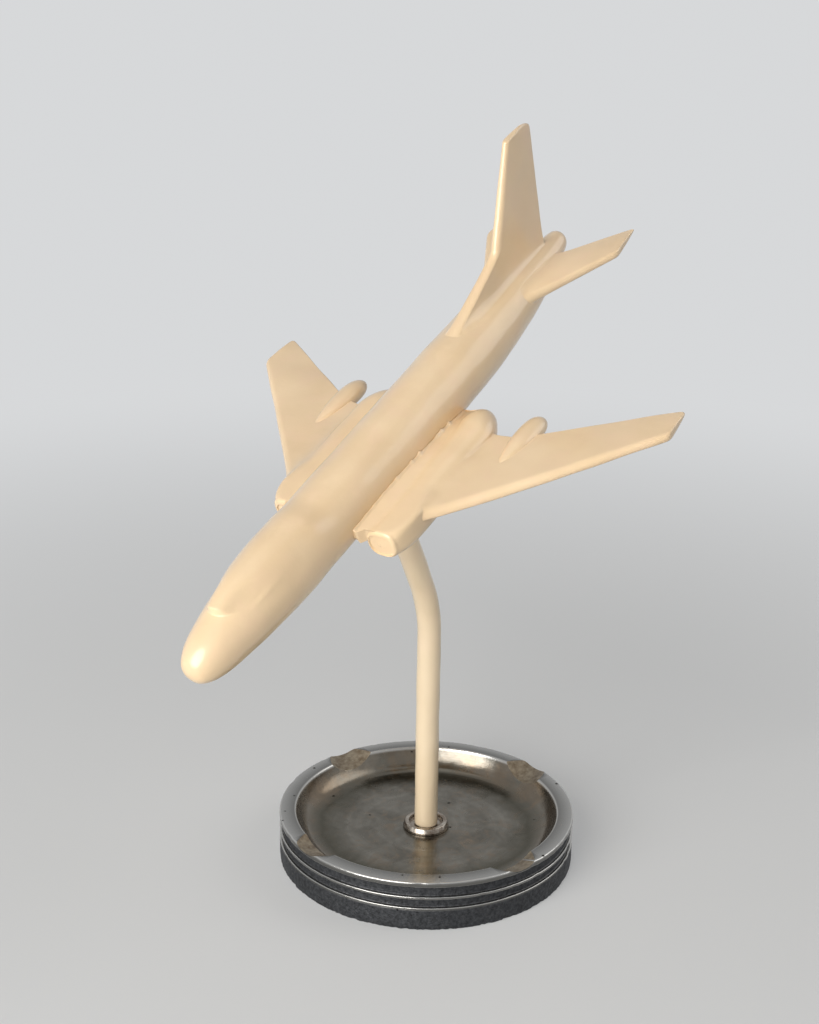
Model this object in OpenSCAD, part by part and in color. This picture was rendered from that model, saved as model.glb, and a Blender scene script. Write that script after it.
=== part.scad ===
// A model jet airliner in a dive, on a bent rod that stands in an ashtray turned from a piston.
// Row frame: origin under the middle of the tray on the rod's axis, +Z up, +X the way the nose
// points, +Y to port. The airliner's own frame: x forward from the wing station, which is a little
// ahead of the wing's root, y to port, z up from the fuselage's axis. Millimetres.

/* [Tray] */
// Outside diameter of the tray, which is the piston's own
tray_d = 100; // [92:1:115]
// Height of the tray
tray_h = 17; // [15:0.25:22]
// Width of the flat ring on top of the rim
rim_w = 5.5; // [4:0.25:8]
// Run of the dished wall from the rim ring in to the floor
slope_w = 6.5; // [4:0.25:9]
// Height of the dish floor above the table
floor_z = 9.5; // [8.5:0.25:11]
// Wall left round the hollow underside
skirt_wall = 8; // [6:0.5:12]
// Depth of the hollow underside
hollow_h = 6; // [5.5:0.25:7]
// Chamfer on the tray's outer edges
tray_chamfer = 0.6; // [0.3:0.1:1]

/* [Ring grooves] */
// Height of the land above the first groove
top_land = 1.8; // [1.2:0.1:2.6]
// Height of the first groove
upper_groove = 3.4; // [2:0.1:4]
// Height of the land between the grooves
thin_land = 0.9; // [0.6:0.1:1.6]
// Height of the second groove
lower_groove = 3; // [2:0.1:3.6]
// Depth of both grooves
groove_deep = 2; // [1:0.1:3]

/* [Cigarette rests] */
// Number of rests across the rim
rests = 4; // [2:1:6]
// Width of a rest at the rim's top
rest_w = 12; // [9:0.5:16]
// Depth of a rest at the rim's outer edge
rest_deep = 1.5; // [1:0.1:3]
// Fall of a rest towards the dish, in degrees
rest_fall = 22; // [5:1:26]
// Turn of the first rest from the airliner's heading, in degrees
rest_turn = -16; // [-45:1:45]

/* [Collar and foot] */
// Diameter of the collar at the dish floor
collar_d = 15.6; // [14.5:0.1:18]
// Height of the collar above the floor
collar_h = 2.2; // [1.6:0.1:4]
// Diameter of the collar's barrel in the tray
collar_barrel = 12; // [10:0.5:13]
// Rounding of the collar's top edge
collar_edge = 0.6; // [0.3:0.1:0.8]
// Diameter of the open mouth round the rod
mouth_d = 11.4; // [9:0.1:12]
// Depth of the open mouth round the rod
mouth_deep = 1.5; // [0.8:0.1:1.5]
// Diameter of the rod's turned-down foot
foot_d = 6; // [5:0.5:7]
// Thickness of the washer under the tray
washer_h = 1.2; // [0.8:0.1:1.6]
// Diameter of the washer
washer_d = 16; // [14:0.5:20]
// Gap between the washer and the rod's foot
washer_gap = 0.2; // [0.1:0.05:0.3]
// Height of the lock nut
nut_h = 3.2; // [2.5:0.1:3.4]
// Width across the nut's flats
nut_flats = 10; // [9.5:0.5:13]
// Length of the rod's foot that shows under the nut
foot_out = 0.4; // [0.2:0.1:0.4]

/* [Rod] */
// Diameter of the rod
rod_d = 8; // [7:0.25:8.5]
// Height at which the rod's two straight stretches would cross
bend_z = 90; // [75:1:110]
// Radius of the bend, at the rod's middle
bend_r = 45; // [20:1:60]
// How much thinner the rod is where it was bent
bend_thin = 0.06; // [0.04:0.01:0.1]
// Length from that crossing up to the fuselage's axis
rod_top = 64; // [52:1:80]
// Dive angle of the airliner, in degrees
dive = 27; // [10:1:35]
// Bank of the airliner to port, in degrees
bank = 1.6; // [-3:0.2:4]
// Length of the rod's full diameter inside the belly
rod_in = 3.5; // [2.5:0.25:4]
// Diameter of the stud on the rod's upper end
stud_d = 5; // [4:0.5:5.5]
// Length of that stud
stud_l = 7; // [5:0.5:8]
// Distance from the wing station back to the rod
rod_back = 16.5; // [13:0.5:19]

/* [Fuselage] */
// Diameter of the fuselage
fuselage_d = 22.5; // [20:0.25:24]
// Distance from the wing station forward to the nose
nose_ahead = 76.5; // [72:0.5:85]
// Length of the rounded nose
nose_l = 45; // [38:0.5:52]
// Droop of the nose
nose_droop = 1.2; // [0:0.1:2]
// Distance from the wing station forward to the front joint
front_joint = 15; // [14:0.5:18]
// Distance from the wing station back to the rear joint
rear_joint = 58; // [54:0.5:60]
// Distance from the wing station back to the tail end
tail_back = 133; // [131:0.5:145]
// Rise of the tail end above the fuselage's axis
tail_rise = 3.6; // [2:0.1:5]
// Diameter of the dowels that join the sections
dowel_d = 8; // [6:0.5:10]
// Length of those dowels
dowel_l = 22; // [16:1:26]

/* [Cockpit hood] */
// Distance from the nose back to the foot of the windscreen
hood_back = 15.5; // [13:0.25:18]
// Length over which the hood fades into the fuselage
hood_l = 44; // [36:0.5:45]
// Rise of the hood above the fuselage
hood_rise = 1.2; // [0.6:0.1:2]

/* [Wings] */
// Distance from the centreline to the port wing's tip
half_span = 77.7; // [68:0.1:90]
// How much shorter the starboard wing is
starboard_trim = 4.4; // [0:0.2:6]
// Distance from the wing station back to the leading edge at the nacelle
wing_back = 1.2; // [0:0.1:3]
// Sweep of the leading edge, in degrees
wing_sweep = 46.2; // [40:0.2:50]
// Chord at the nacelle
root_chord = 41.6; // [38:0.2:44]
// Chord at the kink of the trailing edge
kink_chord = 34; // [31:0.2:36]
// Distance from the nacelle out to that kink
kink_out = 9; // [8:0.2:11]
// Chord at the tip
tip_chord = 13.4; // [11:0.2:18]
// Distance that the rear corner of a tip lies inboard of its front corner
tip_slant = 0.6; // [0:0.2:4]
// Rounding along a tip
tip_edge = 0.8; // [0.4:0.1:1]
// Thickness at the nacelle
root_thick = 5.2; // [4.8:0.1:5.4]
// Thickness at the tip
tip_thick = 3.2; // [2.4:0.1:3.8]
// Height of the wing below the fuselage's axis
wing_low = 6.7; // [6.2:0.1:7.2]
// Rise of the wing towards its tip, in degrees
wing_rise = 0.8; // [-1:0.1:3]
// Diameter of the bar through the wing roots
spar_d = 3; // [2.5:0.1:3]
// Distance from the wing station back to that bar
spar_back = 25; // [24:0.5:27]
// Length of that bar in each wing
spar_in = 7; // [4:0.5:9]
// Diameter of the pins that stop a wing turning
pin_d = 2; // [1.5:0.1:2.2]
// Length of those pins
pin_l = 8; // [6:0.5:9]
// Distance from the wing station back to those pins
pin_back = 11; // [9:0.5:14]

/* [Nacelles] */
// Distance from the centreline to the middle of a nacelle
nacelle_out = 19.6; // [19:0.1:20.4]
// Height of a nacelle's middle below the fuselage's axis
nacelle_low = 6.6; // [6.2:0.1:7.2]
// Width of a nacelle
nacelle_w = 12.2; // [11.6:0.1:12.8]
// Height of a nacelle
nacelle_h = 10.6; // [10.2:0.1:11.6]
// Distance from the wing station forward to the intake
nacelle_ahead = 10.8; // [9.5:0.1:13]
// Distance from the wing station back to the domed end
nacelle_back = 51.5; // [49:0.5:54]
// Length of the domed end
dome_l = 11; // [7:0.5:12]
// Shift of the domed end towards the fuselage
dome_in = 1.6; // [0:0.1:2]
// Rise of the domed end
dome_up = 0.6; // [0:0.1:1.2]
// Width of the intake's lip
lip_w = 10.9; // [9.8:0.1:11.6]
// Height of the intake's lip
lip_h = 9.8; // [9:0.1:10.2]
// Shift of the intake towards the fuselage
intake_in = 1.2; // [0:0.1:1.4]
// Drop of the intake below the nacelle's middle, under 0 where it sits higher
intake_drop = -0.4; // [-0.8:0.1:1.6]
// Diameter of the intake's flat face
intake_d = 7.6; // [6.6:0.1:8]
// Depth of the intake's flat face behind its lip
intake_deep = 0.8; // [0.4:0.1:1.5]
// Rounding of the intake's lip
lip_edge = 0.5; // [0.3:0.1:0.7]
// Distance from the wing station back to where a nacelle has its full size
flare_back = 4; // [2:0.5:6]
// Depth of the flat seat on each side of a nacelle
seat_cut = 0.8; // [0.6:0.05:1]
// Depth of the flat on the inner side, where the strip lies
strip_cut = 0.9; // [0.7:0.05:1.2]

/* [Root strips] */
// Distance that a strip's tab stands ahead of the intake
tab_ahead = 2.2; // [0.5:0.1:3]
// Height of the strip's top below the fuselage's axis, at the front
strip_low = 1.2; // [0.6:0.1:1.6]
// Fall of the strip's top from front to rear
strip_fall = 2.4; // [1:0.1:3.2]
// Height of the strip at its front
strip_h = 5.4; // [4.6:0.1:7]
// Number of beads along the port strip
beads = 6; // [3:1:9]
// Diameter of a bead
bead_d = 2; // [1.6:0.1:2.6]

/* [Gear pods] */
// Distance from the centreline to a pod
pod_out = 34.6; // [34:0.2:38]
// Distance from the wing station back to a pod's point
pod_back = 29.5; // [26:0.5:31]
// Length of a pod
pod_l = 26.5; // [24:0.5:32]
// Diameter of a pod
pod_d = 7; // [6.6:0.1:8.4]
// Height of a pod's point below the fuselage's axis
pod_low = 5; // [4.4:0.1:5.6]
// Fall of a pod towards its rear, in degrees
pod_fall = 6.5; // [4:0.5:8]

/* [Fin] */
// Height of the fin's tip above the fuselage's axis
fin_top = 51.4; // [44:0.2:58]
// Height of the kink where the fin rises from its fillet
fin_kink = 21.4; // [19:0.2:23]
// Distance from the wing station back to that kink
fin_back = 94.5; // [93:0.5:98]
// Sweep of the fin's leading edge, in degrees
fin_sweep = 32; // [28:0.5:38]
// Sweep of the fin's trailing edge, in degrees
fin_trail = 8.6; // [6:0.2:14]
// Distance from the wing station back to the foot of the trailing edge
fin_foot = 122.8; // [120:0.2:125]
// Length of the fillet ahead of the kink
fillet_l = 35; // [30:0.5:37]
// Thickness of the fin at its foot
fin_thick = 4; // [3.4:0.1:4.6]
// Thickness of the fin at its tip
fin_tip_thick = 2.6; // [1.8:0.1:3.2]
// Height over which the fin's tip slopes
fin_cap = 4; // [2:0.5:6]
// Distance that the slope takes off the fin's top at the rear
fin_cap_back = 7; // [1:0.5:8]
// Diameter of the fin's pins
fin_pin_d = 1.6; // [1.2:0.1:1.8]
// Length of the fin's pins
fin_pin_l = 14; // [12:0.5:16]
// Distance of the fin's pins behind its kink and behind the bar through the tail
fin_pin_in = 4; // [3:0.5:5]

/* [Tailplanes] */
// Distance from the centreline to a tailplane's tip
tailplane_out = 25.6; // [21:0.2:30]
// Distance back to the leading edge, on the centreline
tailplane_back = 78.6; // [77:0.2:84]
// Sweep of the leading edge, in degrees
tailplane_sweep = 61.6; // [58:0.2:62]
// Chord on the centreline
tailplane_root = 37.8; // [35:0.2:40]
// Chord at the tip
tailplane_tip = 16; // [14:0.2:20]
// Distance that the rear corner of a tip lies inboard of its front corner
tailplane_slant = 1.4; // [0:0.2:4]
// Height of the tailplanes above the fuselage's axis
tailplane_up = 4; // [3:0.1:5]
// Thickness on the centreline
tailplane_thick = 4; // [3.6:0.1:4.6]
// Thickness at the tip
tailplane_tip_thick = 2.6; // [1.8:0.1:3]
// Diameter of the bar through the tail
bar_d = 2; // [1.6:0.1:2]
// Length of that bar
bar_l = 26; // [22:1:30]
// Distance back to that bar
bar_back = 108; // [106:0.5:109]

/* [Fits] */
// Gap round a piece that is fixed in its hole
fit_gap = 0.04; // [0.02:0.01:0.08]
// Gap round the foot, which turns in the collar
run_gap = 0.06; // [0.03:0.01:0.1]
// Gap under faces that turn on each other
face_gap = 0.1; // [0.05:0.05:0.3]
// Gap where a blade meets the rounded tail
skin_gap = 0.1; // [0.05:0.05:0.2]
// Room past the end of a pin, bar or dowel in its hole
end_room = 0.5; // [0.3:0.1:0.8]

/* [Hidden] */

// Colours of the finishes
enamel = [0.93, 0.83, 0.66];
worn_steel = [0.36, 0.35, 0.34];
bright_steel = [0.62, 0.61, 0.59];
brass = [0.72, 0.6, 0.32];

// Facets of round pieces, of lofted rings and of edges
round_fn = 96;
pin_fn = 48;
ring_n = 36;
blade_n = 24;

// Bluntness of a blade's front, and how far a cut runs past the face it opens
blade_blunt = 30;
over = 1;

// Radii and places on the stand
tray_r = tray_d / 2;
hollow_r = tray_r - skirt_wall;
dish_r = tray_r - rim_w - slope_w;
collar_top = floor_z + collar_h;
rod_foot_z = collar_top - mouth_deep + face_gap;
foot_end = hollow_h - face_gap - washer_h - nut_h - foot_out;
bend_reach = bend_r * tan(dive / 2);
rest_r = (pow(rest_w / 2, 2) + pow(rest_deep, 2)) / (2 * rest_deep);

// Radii and places on the airliner
fuselage_r = fuselage_d / 2;
nacelle_seat = nacelle_out + nacelle_w / 2 - seat_cut;
strip_seat = nacelle_out - nacelle_w / 2 + strip_cut;
insert_l = stud_l + 2 * end_room;
insert_z = rod_in - fuselage_r;
spar_z = -wing_low + (spar_in / 2) * tan(wing_rise);
pod_r = pod_d / 2;

// Outlines as [share of length, share of radius]
nose_outline = [[0, 0], [0.004, 0.15], [0.015, 0.28], [0.045, 0.42], [0.09, 0.53], [0.18, 0.655],
    [0.32, 0.76], [0.5, 0.86], [0.72, 0.945], [1, 1]];
tail_outline = [[0, 1], [0.16, 0.985], [0.32, 0.94], [0.48, 0.86], [0.67, 0.715], [0.83, 0.52],
    [0.93, 0.38], [0.975, 0.29], [0.995, 0.14], [1, 0]];
hood_outline = [[0, 0.28], [0.02, 0.42], [0.05, 0.54], [0.1, 0.64], [0.2, 0.72], [0.4, 0.76],
    [1, 0.78]];
hood_top = [[0, 0.9], [0.05, 0.94], [0.1, 0.98], [0.2, 1.05], [0.35, 1.1], [0.6, 1.1], [1, 0.995]];
pod_outline = [[0, 0], [0.03, 0.16], [0.12, 0.42], [0.3, 0.74], [0.5, 0.94], [0.66, 1], [0.8, 0.94],
    [0.91, 0.74], [0.975, 0.42], [1, 0]];

// Slope of an outline at one of its points
function outline_slope(pts, k) =
    let (a = max(0, k - 1), b = min(len(pts) - 1, k + 1))
    (pts[b][1] - pts[a][1]) / (pts[b][0] - pts[a][0]);

// Smooth value at t on the curve through an outline's points
function curve_at(pts, t) =
    let (last = len(pts) - 2,
        k = max([0, for (i = [1 : last]) if (t >= pts[i][0]) i]),
        w = pts[k + 1][0] - pts[k][0],
        u = (t - pts[k][0]) / w,
        p = pts[k][1],
        q = pts[k + 1][1],
        dp = outline_slope(pts, k) * w,
        dq = outline_slope(pts, k + 1) * w)
    (2 * u * u * u - 3 * u * u + 1) * p + (u * u * u - 2 * u * u + u) * dp
        + (3 * u * u - 2 * u * u * u) * q + (u * u * u - u * u) * dq;

// Ring across the x axis: an ellipse where corner is 2, and squarer as it grows. The side
// towards the centreline has a corner of its own.
function cross_ring(x, y, z, w, h, corner = 2, inner = 2) =
    [for (i = [0 : ring_n - 1])
        let (a = 360 * i / ring_n, c = cos(a), s = sin(a), power = 2 / (c < 0 ? inner : corner))
        [x, y + w / 2 * sign(c) * pow(abs(c), power), z + h / 2 * sign(s) * pow(abs(s), power)]];

// Half thickness of a blade at share u of its chord: a full round front and a thin blunt rear
function blade_half(u, thick) = thick / 2 * sqrt(1 - pow(1 - u, blade_blunt)) * (1 - 0.8 * u * u);

// Points round a blade's section, as [distance back, half thickness with its sign]
function blade_ring(chord, thick, n) =
    [for (i = [0 : n - 1]) let (a = 360 * i / n, u = (1 - cos(a)) / 2)
        [chord * u, blade_half(u, thick) * (a <= 180 ? 1 : -1)]];

// Skin over rings that all have the same number of points
module loft(rings) {
    n = len(rings[0]);
    m = len(rings);
    sides = [for (i = [0 : m - 2], j = [0 : n - 1])
        let (a = i * n + j, b = i * n + (j + 1) % n) each [[a, b, b + n], [a, b + n, a + n]]];
    front = [for (j = [n - 1 : -1 : 0]) j];
    back = [for (j = [0 : n - 1]) (m - 1) * n + j];
    polyhedron([for (ring = rings) each ring], concat(sides, [front], [back]), convexity = 8);
}

// Carries a piece from where the rod's upper end meets the fuselage's axis
module on_rod() {
    translate([0, 0, bend_z]) rotate([0, dive, 0]) translate([0, 0, rod_top]) children();
}

// Carries a piece from the airliner's own frame to where the rod holds it
module in_flight() {
    on_rod() translate([rod_back, 0, 0]) rotate([-bank, 0, 0]) children();
}

module to_port() {
    in_flight() children();
}

module to_starboard() {
    in_flight() mirror([0, 1, 0]) children();
}

// Bar along y through the middle
module cross_bar(d, l) {
    rotate([90, 0, 0]) cylinder(d = d, h = l, center = true, $fn = round_fn);
}

module piston_tray() {
    dish_h = tray_h - floor_z;
    wall_turn = 60;
    groove_1 = tray_h - top_land;
    groove_2 = groove_1 - upper_groove - thin_land;
    wall = [for (a = [0 : 10 : wall_turn])
        [dish_r + slope_w * sin(a) / sin(wall_turn),
            floor_z + dish_h * (1 - cos(a)) / (1 - cos(wall_turn))]];
    outline = concat(
        [[collar_barrel / 2 + fit_gap, hollow_h], [hollow_r, hollow_h], [hollow_r, 0],
            [tray_r - tray_chamfer, 0], [tray_r, tray_chamfer],
            [tray_r, groove_2 - lower_groove], [tray_r - groove_deep, groove_2 - lower_groove],
            [tray_r - groove_deep, groove_2], [tray_r, groove_2],
            [tray_r, groove_2 + thin_land], [tray_r - groove_deep, groove_2 + thin_land],
            [tray_r - groove_deep, groove_1], [tray_r, groove_1],
            [tray_r, tray_h - tray_chamfer], [tray_r - tray_chamfer, tray_h]],
        [for (i = [len(wall) - 1 : -1 : 0]) wall[i]],
        [[collar_barrel / 2 + fit_gap, floor_z]]);
    color(worn_steel) difference() {
        rotate_extrude($fn = round_fn) polygon(outline);
        for (i = [0 : rests - 1])
            rotate([0, 0, rest_turn + 360 * i / rests])
                translate([tray_r, 0, tray_h - rest_deep])
                    rotate([0, -90 - rest_fall, 0]) translate([rest_r, 0, -tray_r / 5])
                        cylinder(r = rest_r, h = tray_r / 5 + rim_w + slope_w, $fn = round_fn);
    }
}

module rod_collar() {
    color(bright_steel) rotate_extrude($fn = round_fn) polygon([
        [foot_d / 2 + run_gap, hollow_h], [collar_barrel / 2, hollow_h],
        [collar_barrel / 2, floor_z], [collar_d / 2, floor_z],
        [collar_d / 2, floor_z + collar_h / 3], [collar_d / 2 - collar_edge, collar_top - collar_edge / 2],
        [collar_d / 2 - 1.6 * collar_edge, collar_top], [mouth_d / 2, collar_top],
        [mouth_d / 2, collar_top - mouth_deep], [foot_d / 2 + run_gap, collar_top - mouth_deep]]);
}

module stand_rod() {
    low_l = bend_z - bend_reach - rod_foot_z;
    top_l = rod_top - bend_reach - fuselage_r + rod_in;
    color(enamel) {
        rotate_extrude($fn = round_fn) polygon([
            [0, foot_end], [foot_d / 2, foot_end], [foot_d / 2, rod_foot_z], [rod_d / 2, rod_foot_z],
            [rod_d / 2, rod_foot_z + low_l], [0, rod_foot_z + low_l]]);
        translate([bend_r, 0, bend_z - bend_reach]) rotate([90, 0, 0]) rotate([0, 0, 180 - dive])
            rotate_extrude(angle = dive, $fn = round_fn)
                translate([bend_r, 0]) circle(d = rod_d - bend_thin, $fn = round_fn);
        translate([0, 0, bend_z]) rotate([0, dive, 0]) translate([0, 0, bend_reach])
            rotate_extrude($fn = round_fn) polygon([
                [0, 0], [rod_d / 2, 0], [rod_d / 2, top_l], [stud_d / 2, top_l],
                [stud_d / 2, top_l + stud_l], [0, top_l + stud_l]]);
    }
}

module foot_washer() {
    color(bright_steel) translate([0, 0, hollow_h - face_gap - washer_h]) difference() {
        cylinder(d = washer_d, h = washer_h, $fn = round_fn);
        translate([0, 0, -over])
            cylinder(d = foot_d + 2 * washer_gap, h = washer_h + 2 * over, $fn = round_fn);
    }
}

module foot_nut() {
    color(bright_steel) translate([0, 0, hollow_h - face_gap - washer_h - nut_h]) difference() {
        cylinder(d = nut_flats / cos(30), h = nut_h, $fn = 6);
        translate([0, 0, -over]) cylinder(d = foot_d + 2 * fit_gap, h = nut_h + 2 * over, $fn = round_fn);
    }
}

module belly_insert() {
    color(brass) on_rod() translate([0, 0, insert_z + fit_gap]) difference() {
        cylinder(d = rod_d, h = insert_l, $fn = round_fn);
        translate([0, 0, -over])
            cylinder(d = stud_d + 2 * fit_gap, h = insert_l + 2 * over, $fn = round_fn);
    }
}

// Lofted nose, from the tip back to the front joint
module nose_skin() {
    back = nose_ahead - front_joint;
    steps = [0.0013, 0.008, 0.022, 0.045, 0.08, 0.13, 0.21, 0.31, 0.44, 0.6, 0.8, 1];
    rings = [for (t = steps) let (r = fuselage_r * curve_at(nose_outline, t))
        cross_ring(nose_ahead - nose_l * t, 0, -nose_droop * pow(1 - t, 1.5), 2 * r, 2 * r)];
    loft(concat(rings, [cross_ring(nose_ahead - back, 0, 0, fuselage_d, fuselage_d)]));
}

// Cockpit hood, a narrower barrel that stands out of the fuselage's top
module hood_skin() {
    lift = hood_rise / (0.1 * fuselage_r);
    steps = [0, 0.02, 0.05, 0.1, 0.18, 0.3, 0.45, 0.7, 1];
    loft([for (t = steps)
        let (r = fuselage_r * curve_at(hood_outline, t),
            top = fuselage_r * (1 + lift * (curve_at(hood_top, t) - 1)))
        cross_ring(nose_ahead - hood_back - hood_l * t, 0, top - r, 2 * r, 2 * r)]);
}

module nose_section() {
    color(enamel) in_flight() difference() {
        union() {
            nose_skin();
            // the hood never runs back past the front joint
            difference() {
                hood_skin();
                translate([front_joint, 0, 0]) rotate([0, -90, 0])
                    cylinder(d = 2 * fuselage_d, h = hood_l, $fn = round_fn);
            }
        }
        translate([front_joint - over, 0, 0]) rotate([0, 90, 0])
            cylinder(d = dowel_d + 2 * fit_gap, h = dowel_l / 2 + end_room + over, $fn = round_fn);
    }
}

module centre_section() {
    color(enamel) difference() {
        in_flight() difference() {
            translate([-rear_joint, 0, 0]) rotate([0, 90, 0])
                cylinder(r = fuselage_r, h = front_joint + rear_joint, $fn = round_fn);
            for (x = [front_joint, -rear_joint])
                translate([x, 0, 0]) rotate([0, 90, 0])
                    cylinder(d = dowel_d + 2 * fit_gap, h = dowel_l + 2 * end_room, center = true,
                        $fn = round_fn);
            translate([-spar_back, 0, spar_z]) cross_bar(spar_d + 2 * fit_gap, fuselage_d + 2 * over);
        }
        on_rod() translate([0, 0, -fuselage_r - over])
            cylinder(d = rod_d + 2 * fit_gap, h = rod_in + insert_l + end_room + over, $fn = round_fn);
    }
}

// Lofted tail, larger all round by grow
module tail_skin(grow) {
    l = tail_back - rear_joint;
    steps = [0, 0.1, 0.2, 0.32, 0.45, 0.58, 0.7, 0.82, 0.91, 0.96, 0.985, 0.9985];
    loft([for (t = steps)
        let (r = fuselage_r * curve_at(tail_outline, t) + grow)
        cross_ring(-rear_joint - l * t, 0, tail_rise * pow(t, 2.2), 2 * r, 2 * r)]);
}

module tail_section() {
    color(enamel) in_flight() difference() {
        tail_skin(0);
        translate([over - rear_joint, 0, 0]) rotate([0, -90, 0])
            cylinder(d = dowel_d + 2 * fit_gap, h = dowel_l / 2 + end_room + over, $fn = round_fn);
        fin_pin_places() fin_pin_hole();
        translate([-bar_back, 0, tailplane_up]) cross_bar(bar_d + 2 * fit_gap, bar_l);
    }
}

module nose_dowel() {
    color(bright_steel) in_flight() translate([front_joint, 0, 0]) rotate([0, 90, 0])
        cylinder(d = dowel_d, h = dowel_l, center = true, $fn = round_fn);
}

module tail_dowel() {
    color(bright_steel) in_flight() translate([-rear_joint, 0, 0]) rotate([0, 90, 0])
        cylinder(d = dowel_d, h = dowel_l, center = true, $fn = round_fn);
}

module wing_spar() {
    color(bright_steel) in_flight() translate([-spar_back, 0, spar_z])
        cross_bar(spar_d, 2 * (nacelle_seat + spar_in));
}

module root_pins() {
    color(bright_steel) in_flight() for (side = [-1, 1])
        translate([-pin_back, side * nacelle_seat, spar_z]) cross_bar(pin_d, pin_l);
}

// Lofted nacelle on the port side, before its flats and holes are cut
module nacelle_skin() {
    straight = nacelle_back - dome_l;
    // share is 1 at the intake and 0 where the nacelle has its full size
    function ring(x, share, grow) = cross_ring(x, nacelle_out - intake_in * share,
        -nacelle_low - intake_drop * share, nacelle_w + (lip_w - nacelle_w) * share + grow,
        nacelle_h + (lip_h - nacelle_h) * share + grow, 2.6 - 0.3 * share, 4 - 1.6 * share);
    ahead = [for (t = [0 : 0.25 : 1])
        ring(nacelle_ahead - lip_edge - (nacelle_ahead - lip_edge + flare_back) * t, (1 - t) * (1 - t), 0)];
    dome = [for (a = [15, 30, 45, 60, 75, 87]) cross_ring(-straight - dome_l * sin(a),
        nacelle_out - dome_in * sin(a), -nacelle_low + dome_up * sin(a),
        nacelle_w * cos(a), nacelle_h * cos(a), 2.6 - a / 120, 4 - a / 45)];
    loft(concat([ring(nacelle_ahead, 1, -2 * lip_edge)], ahead, [ring(-straight, 0, 0)], dome));
}

module nacelle() {
    color(enamel) difference() {
        intersection() {
            nacelle_skin();
            translate([-nacelle_back - over, strip_seat, -nacelle_low - nacelle_h])
                cube([nacelle_back + nacelle_ahead + 2 * over, nacelle_seat - strip_seat,
                    2 * nacelle_h]);
        }
        translate([nacelle_ahead - intake_deep, nacelle_out - intake_in, -nacelle_low - intake_drop])
            rotate([0, 90, 0]) cylinder(d = intake_d, h = intake_deep + over, $fn = round_fn);
        translate([-spar_back, nacelle_out, spar_z]) cross_bar(spar_d + 2 * fit_gap, 2 * nacelle_w);
        translate([-pin_back, nacelle_seat, spar_z]) cross_bar(pin_d + 2 * fit_gap, pin_l + 2 * end_room);
    }
}

module port_nacelle() {
    to_port() nacelle();
}

module starboard_nacelle() {
    to_starboard() nacelle();
}

// Strip between the fuselage and a nacelle, with beads where it was run in by hand
module root_strip(bead_count) {
    front = nacelle_ahead + tab_ahead;
    back = nacelle_back - dome_l;
    l = front + back;
    color(enamel) difference() {
        union() {
            translate([0, strip_seat, 0]) rotate([90, 0, 0]) linear_extrude(strip_seat)
                polygon([[front, -strip_low - strip_h], [front, -strip_low],
                    [-back, -strip_low - strip_fall], [-back, -strip_low - strip_h]]);
            for (i = [0 : 1 : bead_count - 1])
                let (t = 0.28 + 0.68 * i / max(1, bead_count - 1))
                translate([front - l * t, fuselage_r + bead_d / 3, -strip_low - strip_fall * t])
                    sphere(d = bead_d, $fn = 32);
        }
        translate([-rear_joint, 0, 0]) rotate([0, 90, 0])
            cylinder(r = fuselage_r + fit_gap, h = rear_joint + front_joint, $fn = round_fn);
        translate([-spar_back, 0, spar_z]) cross_bar(spar_d + 2 * fit_gap, 2 * (strip_seat + over));
    }
}

module port_root_strip() {
    to_port() root_strip(beads);
}

module starboard_root_strip() {
    to_starboard() root_strip(0);
}

// Ring of a wing at distance out from the nacelle. Its front is held back by back, and its
// rear end lies inboard of its front by slant.
function wing_ring(out, chord, thick, back = 0, slant = 0) =
    [for (q = blade_ring(chord, thick, blade_n))
        let (o = out - slant * q[0] / chord)
        [-wing_back - out * tan(wing_sweep) - back - q[0], nacelle_seat + o,
            -wing_low + o * tan(wing_rise) + q[1]]];

// Wing on the port side, cut shorter by trim
module wing_skin(trim) {
    full = half_span - nacelle_seat;
    out = full - trim;
    share = (out - kink_out) / (full - kink_out);
    chord = kink_chord + (tip_chord - kink_chord) * share;
    function thick(o) = root_thick + (tip_thick - root_thick) * o / full;
    loft([wing_ring(0, root_chord, root_thick), wing_ring(kink_out, kink_chord, thick(kink_out)),
        wing_ring(out - tip_edge, chord, thick(out), 0, tip_slant),
        wing_ring(out, chord - 1.5 * tip_edge, thick(out) - 1.5 * tip_edge, 0.8 * tip_edge, tip_slant)]);
}

module wing(trim) {
    color(enamel) difference() {
        wing_skin(trim);
        translate([-spar_back, nacelle_seat, spar_z]) cross_bar(spar_d + 2 * fit_gap,
            2 * (spar_in + end_room));
        translate([-pin_back, nacelle_seat, spar_z]) cross_bar(pin_d + 2 * fit_gap, pin_l + 2 * end_room);
    }
}

module port_wing() {
    to_port() wing(0);
}

module starboard_wing() {
    to_starboard() wing(starboard_trim);
}

// Teardrop pod that is slotted over the wing's rear edge
module gear_pod(trim) {
    color(enamel) difference() {
        translate([-pod_back, pod_out, -pod_low]) rotate([0, -90 - pod_fall, 0])
            rotate_extrude($fn = round_fn)
                polygon(concat([[0, pod_l]], [for (i = [0 : 24])
                    let (t = (1 - cos(7.5 * i)) / 2)
                    [pod_r * max(0, curve_at(pod_outline, t)), pod_l * t]]));
        wing_skin(trim);
    }
}

module port_gear_pod() {
    to_port() gear_pod(0);
}

module starboard_gear_pod() {
    to_starboard() gear_pod(starboard_trim);
}

// Front edge of the fin at height z: the swept edge, and the fillet below the kink
function fin_front(z) =
    z >= fin_kink ? -fin_back - (z - fin_kink) * tan(fin_sweep)
        : let (t = min(1, (fin_kink - z) / (fin_kink - 0.9 * fuselage_r)))
            -fin_back + fillet_l * (0.75 * t + 0.25 * t * t);

function fin_ring(z, rear_cut, thick) =
    let (front = fin_front(z), rear = -fin_foot - (z - fuselage_r) * tan(fin_trail) + rear_cut)
    [for (q = blade_ring(front - rear, thick, blade_n)) [front - q[0], -q[1], z]];

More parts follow.
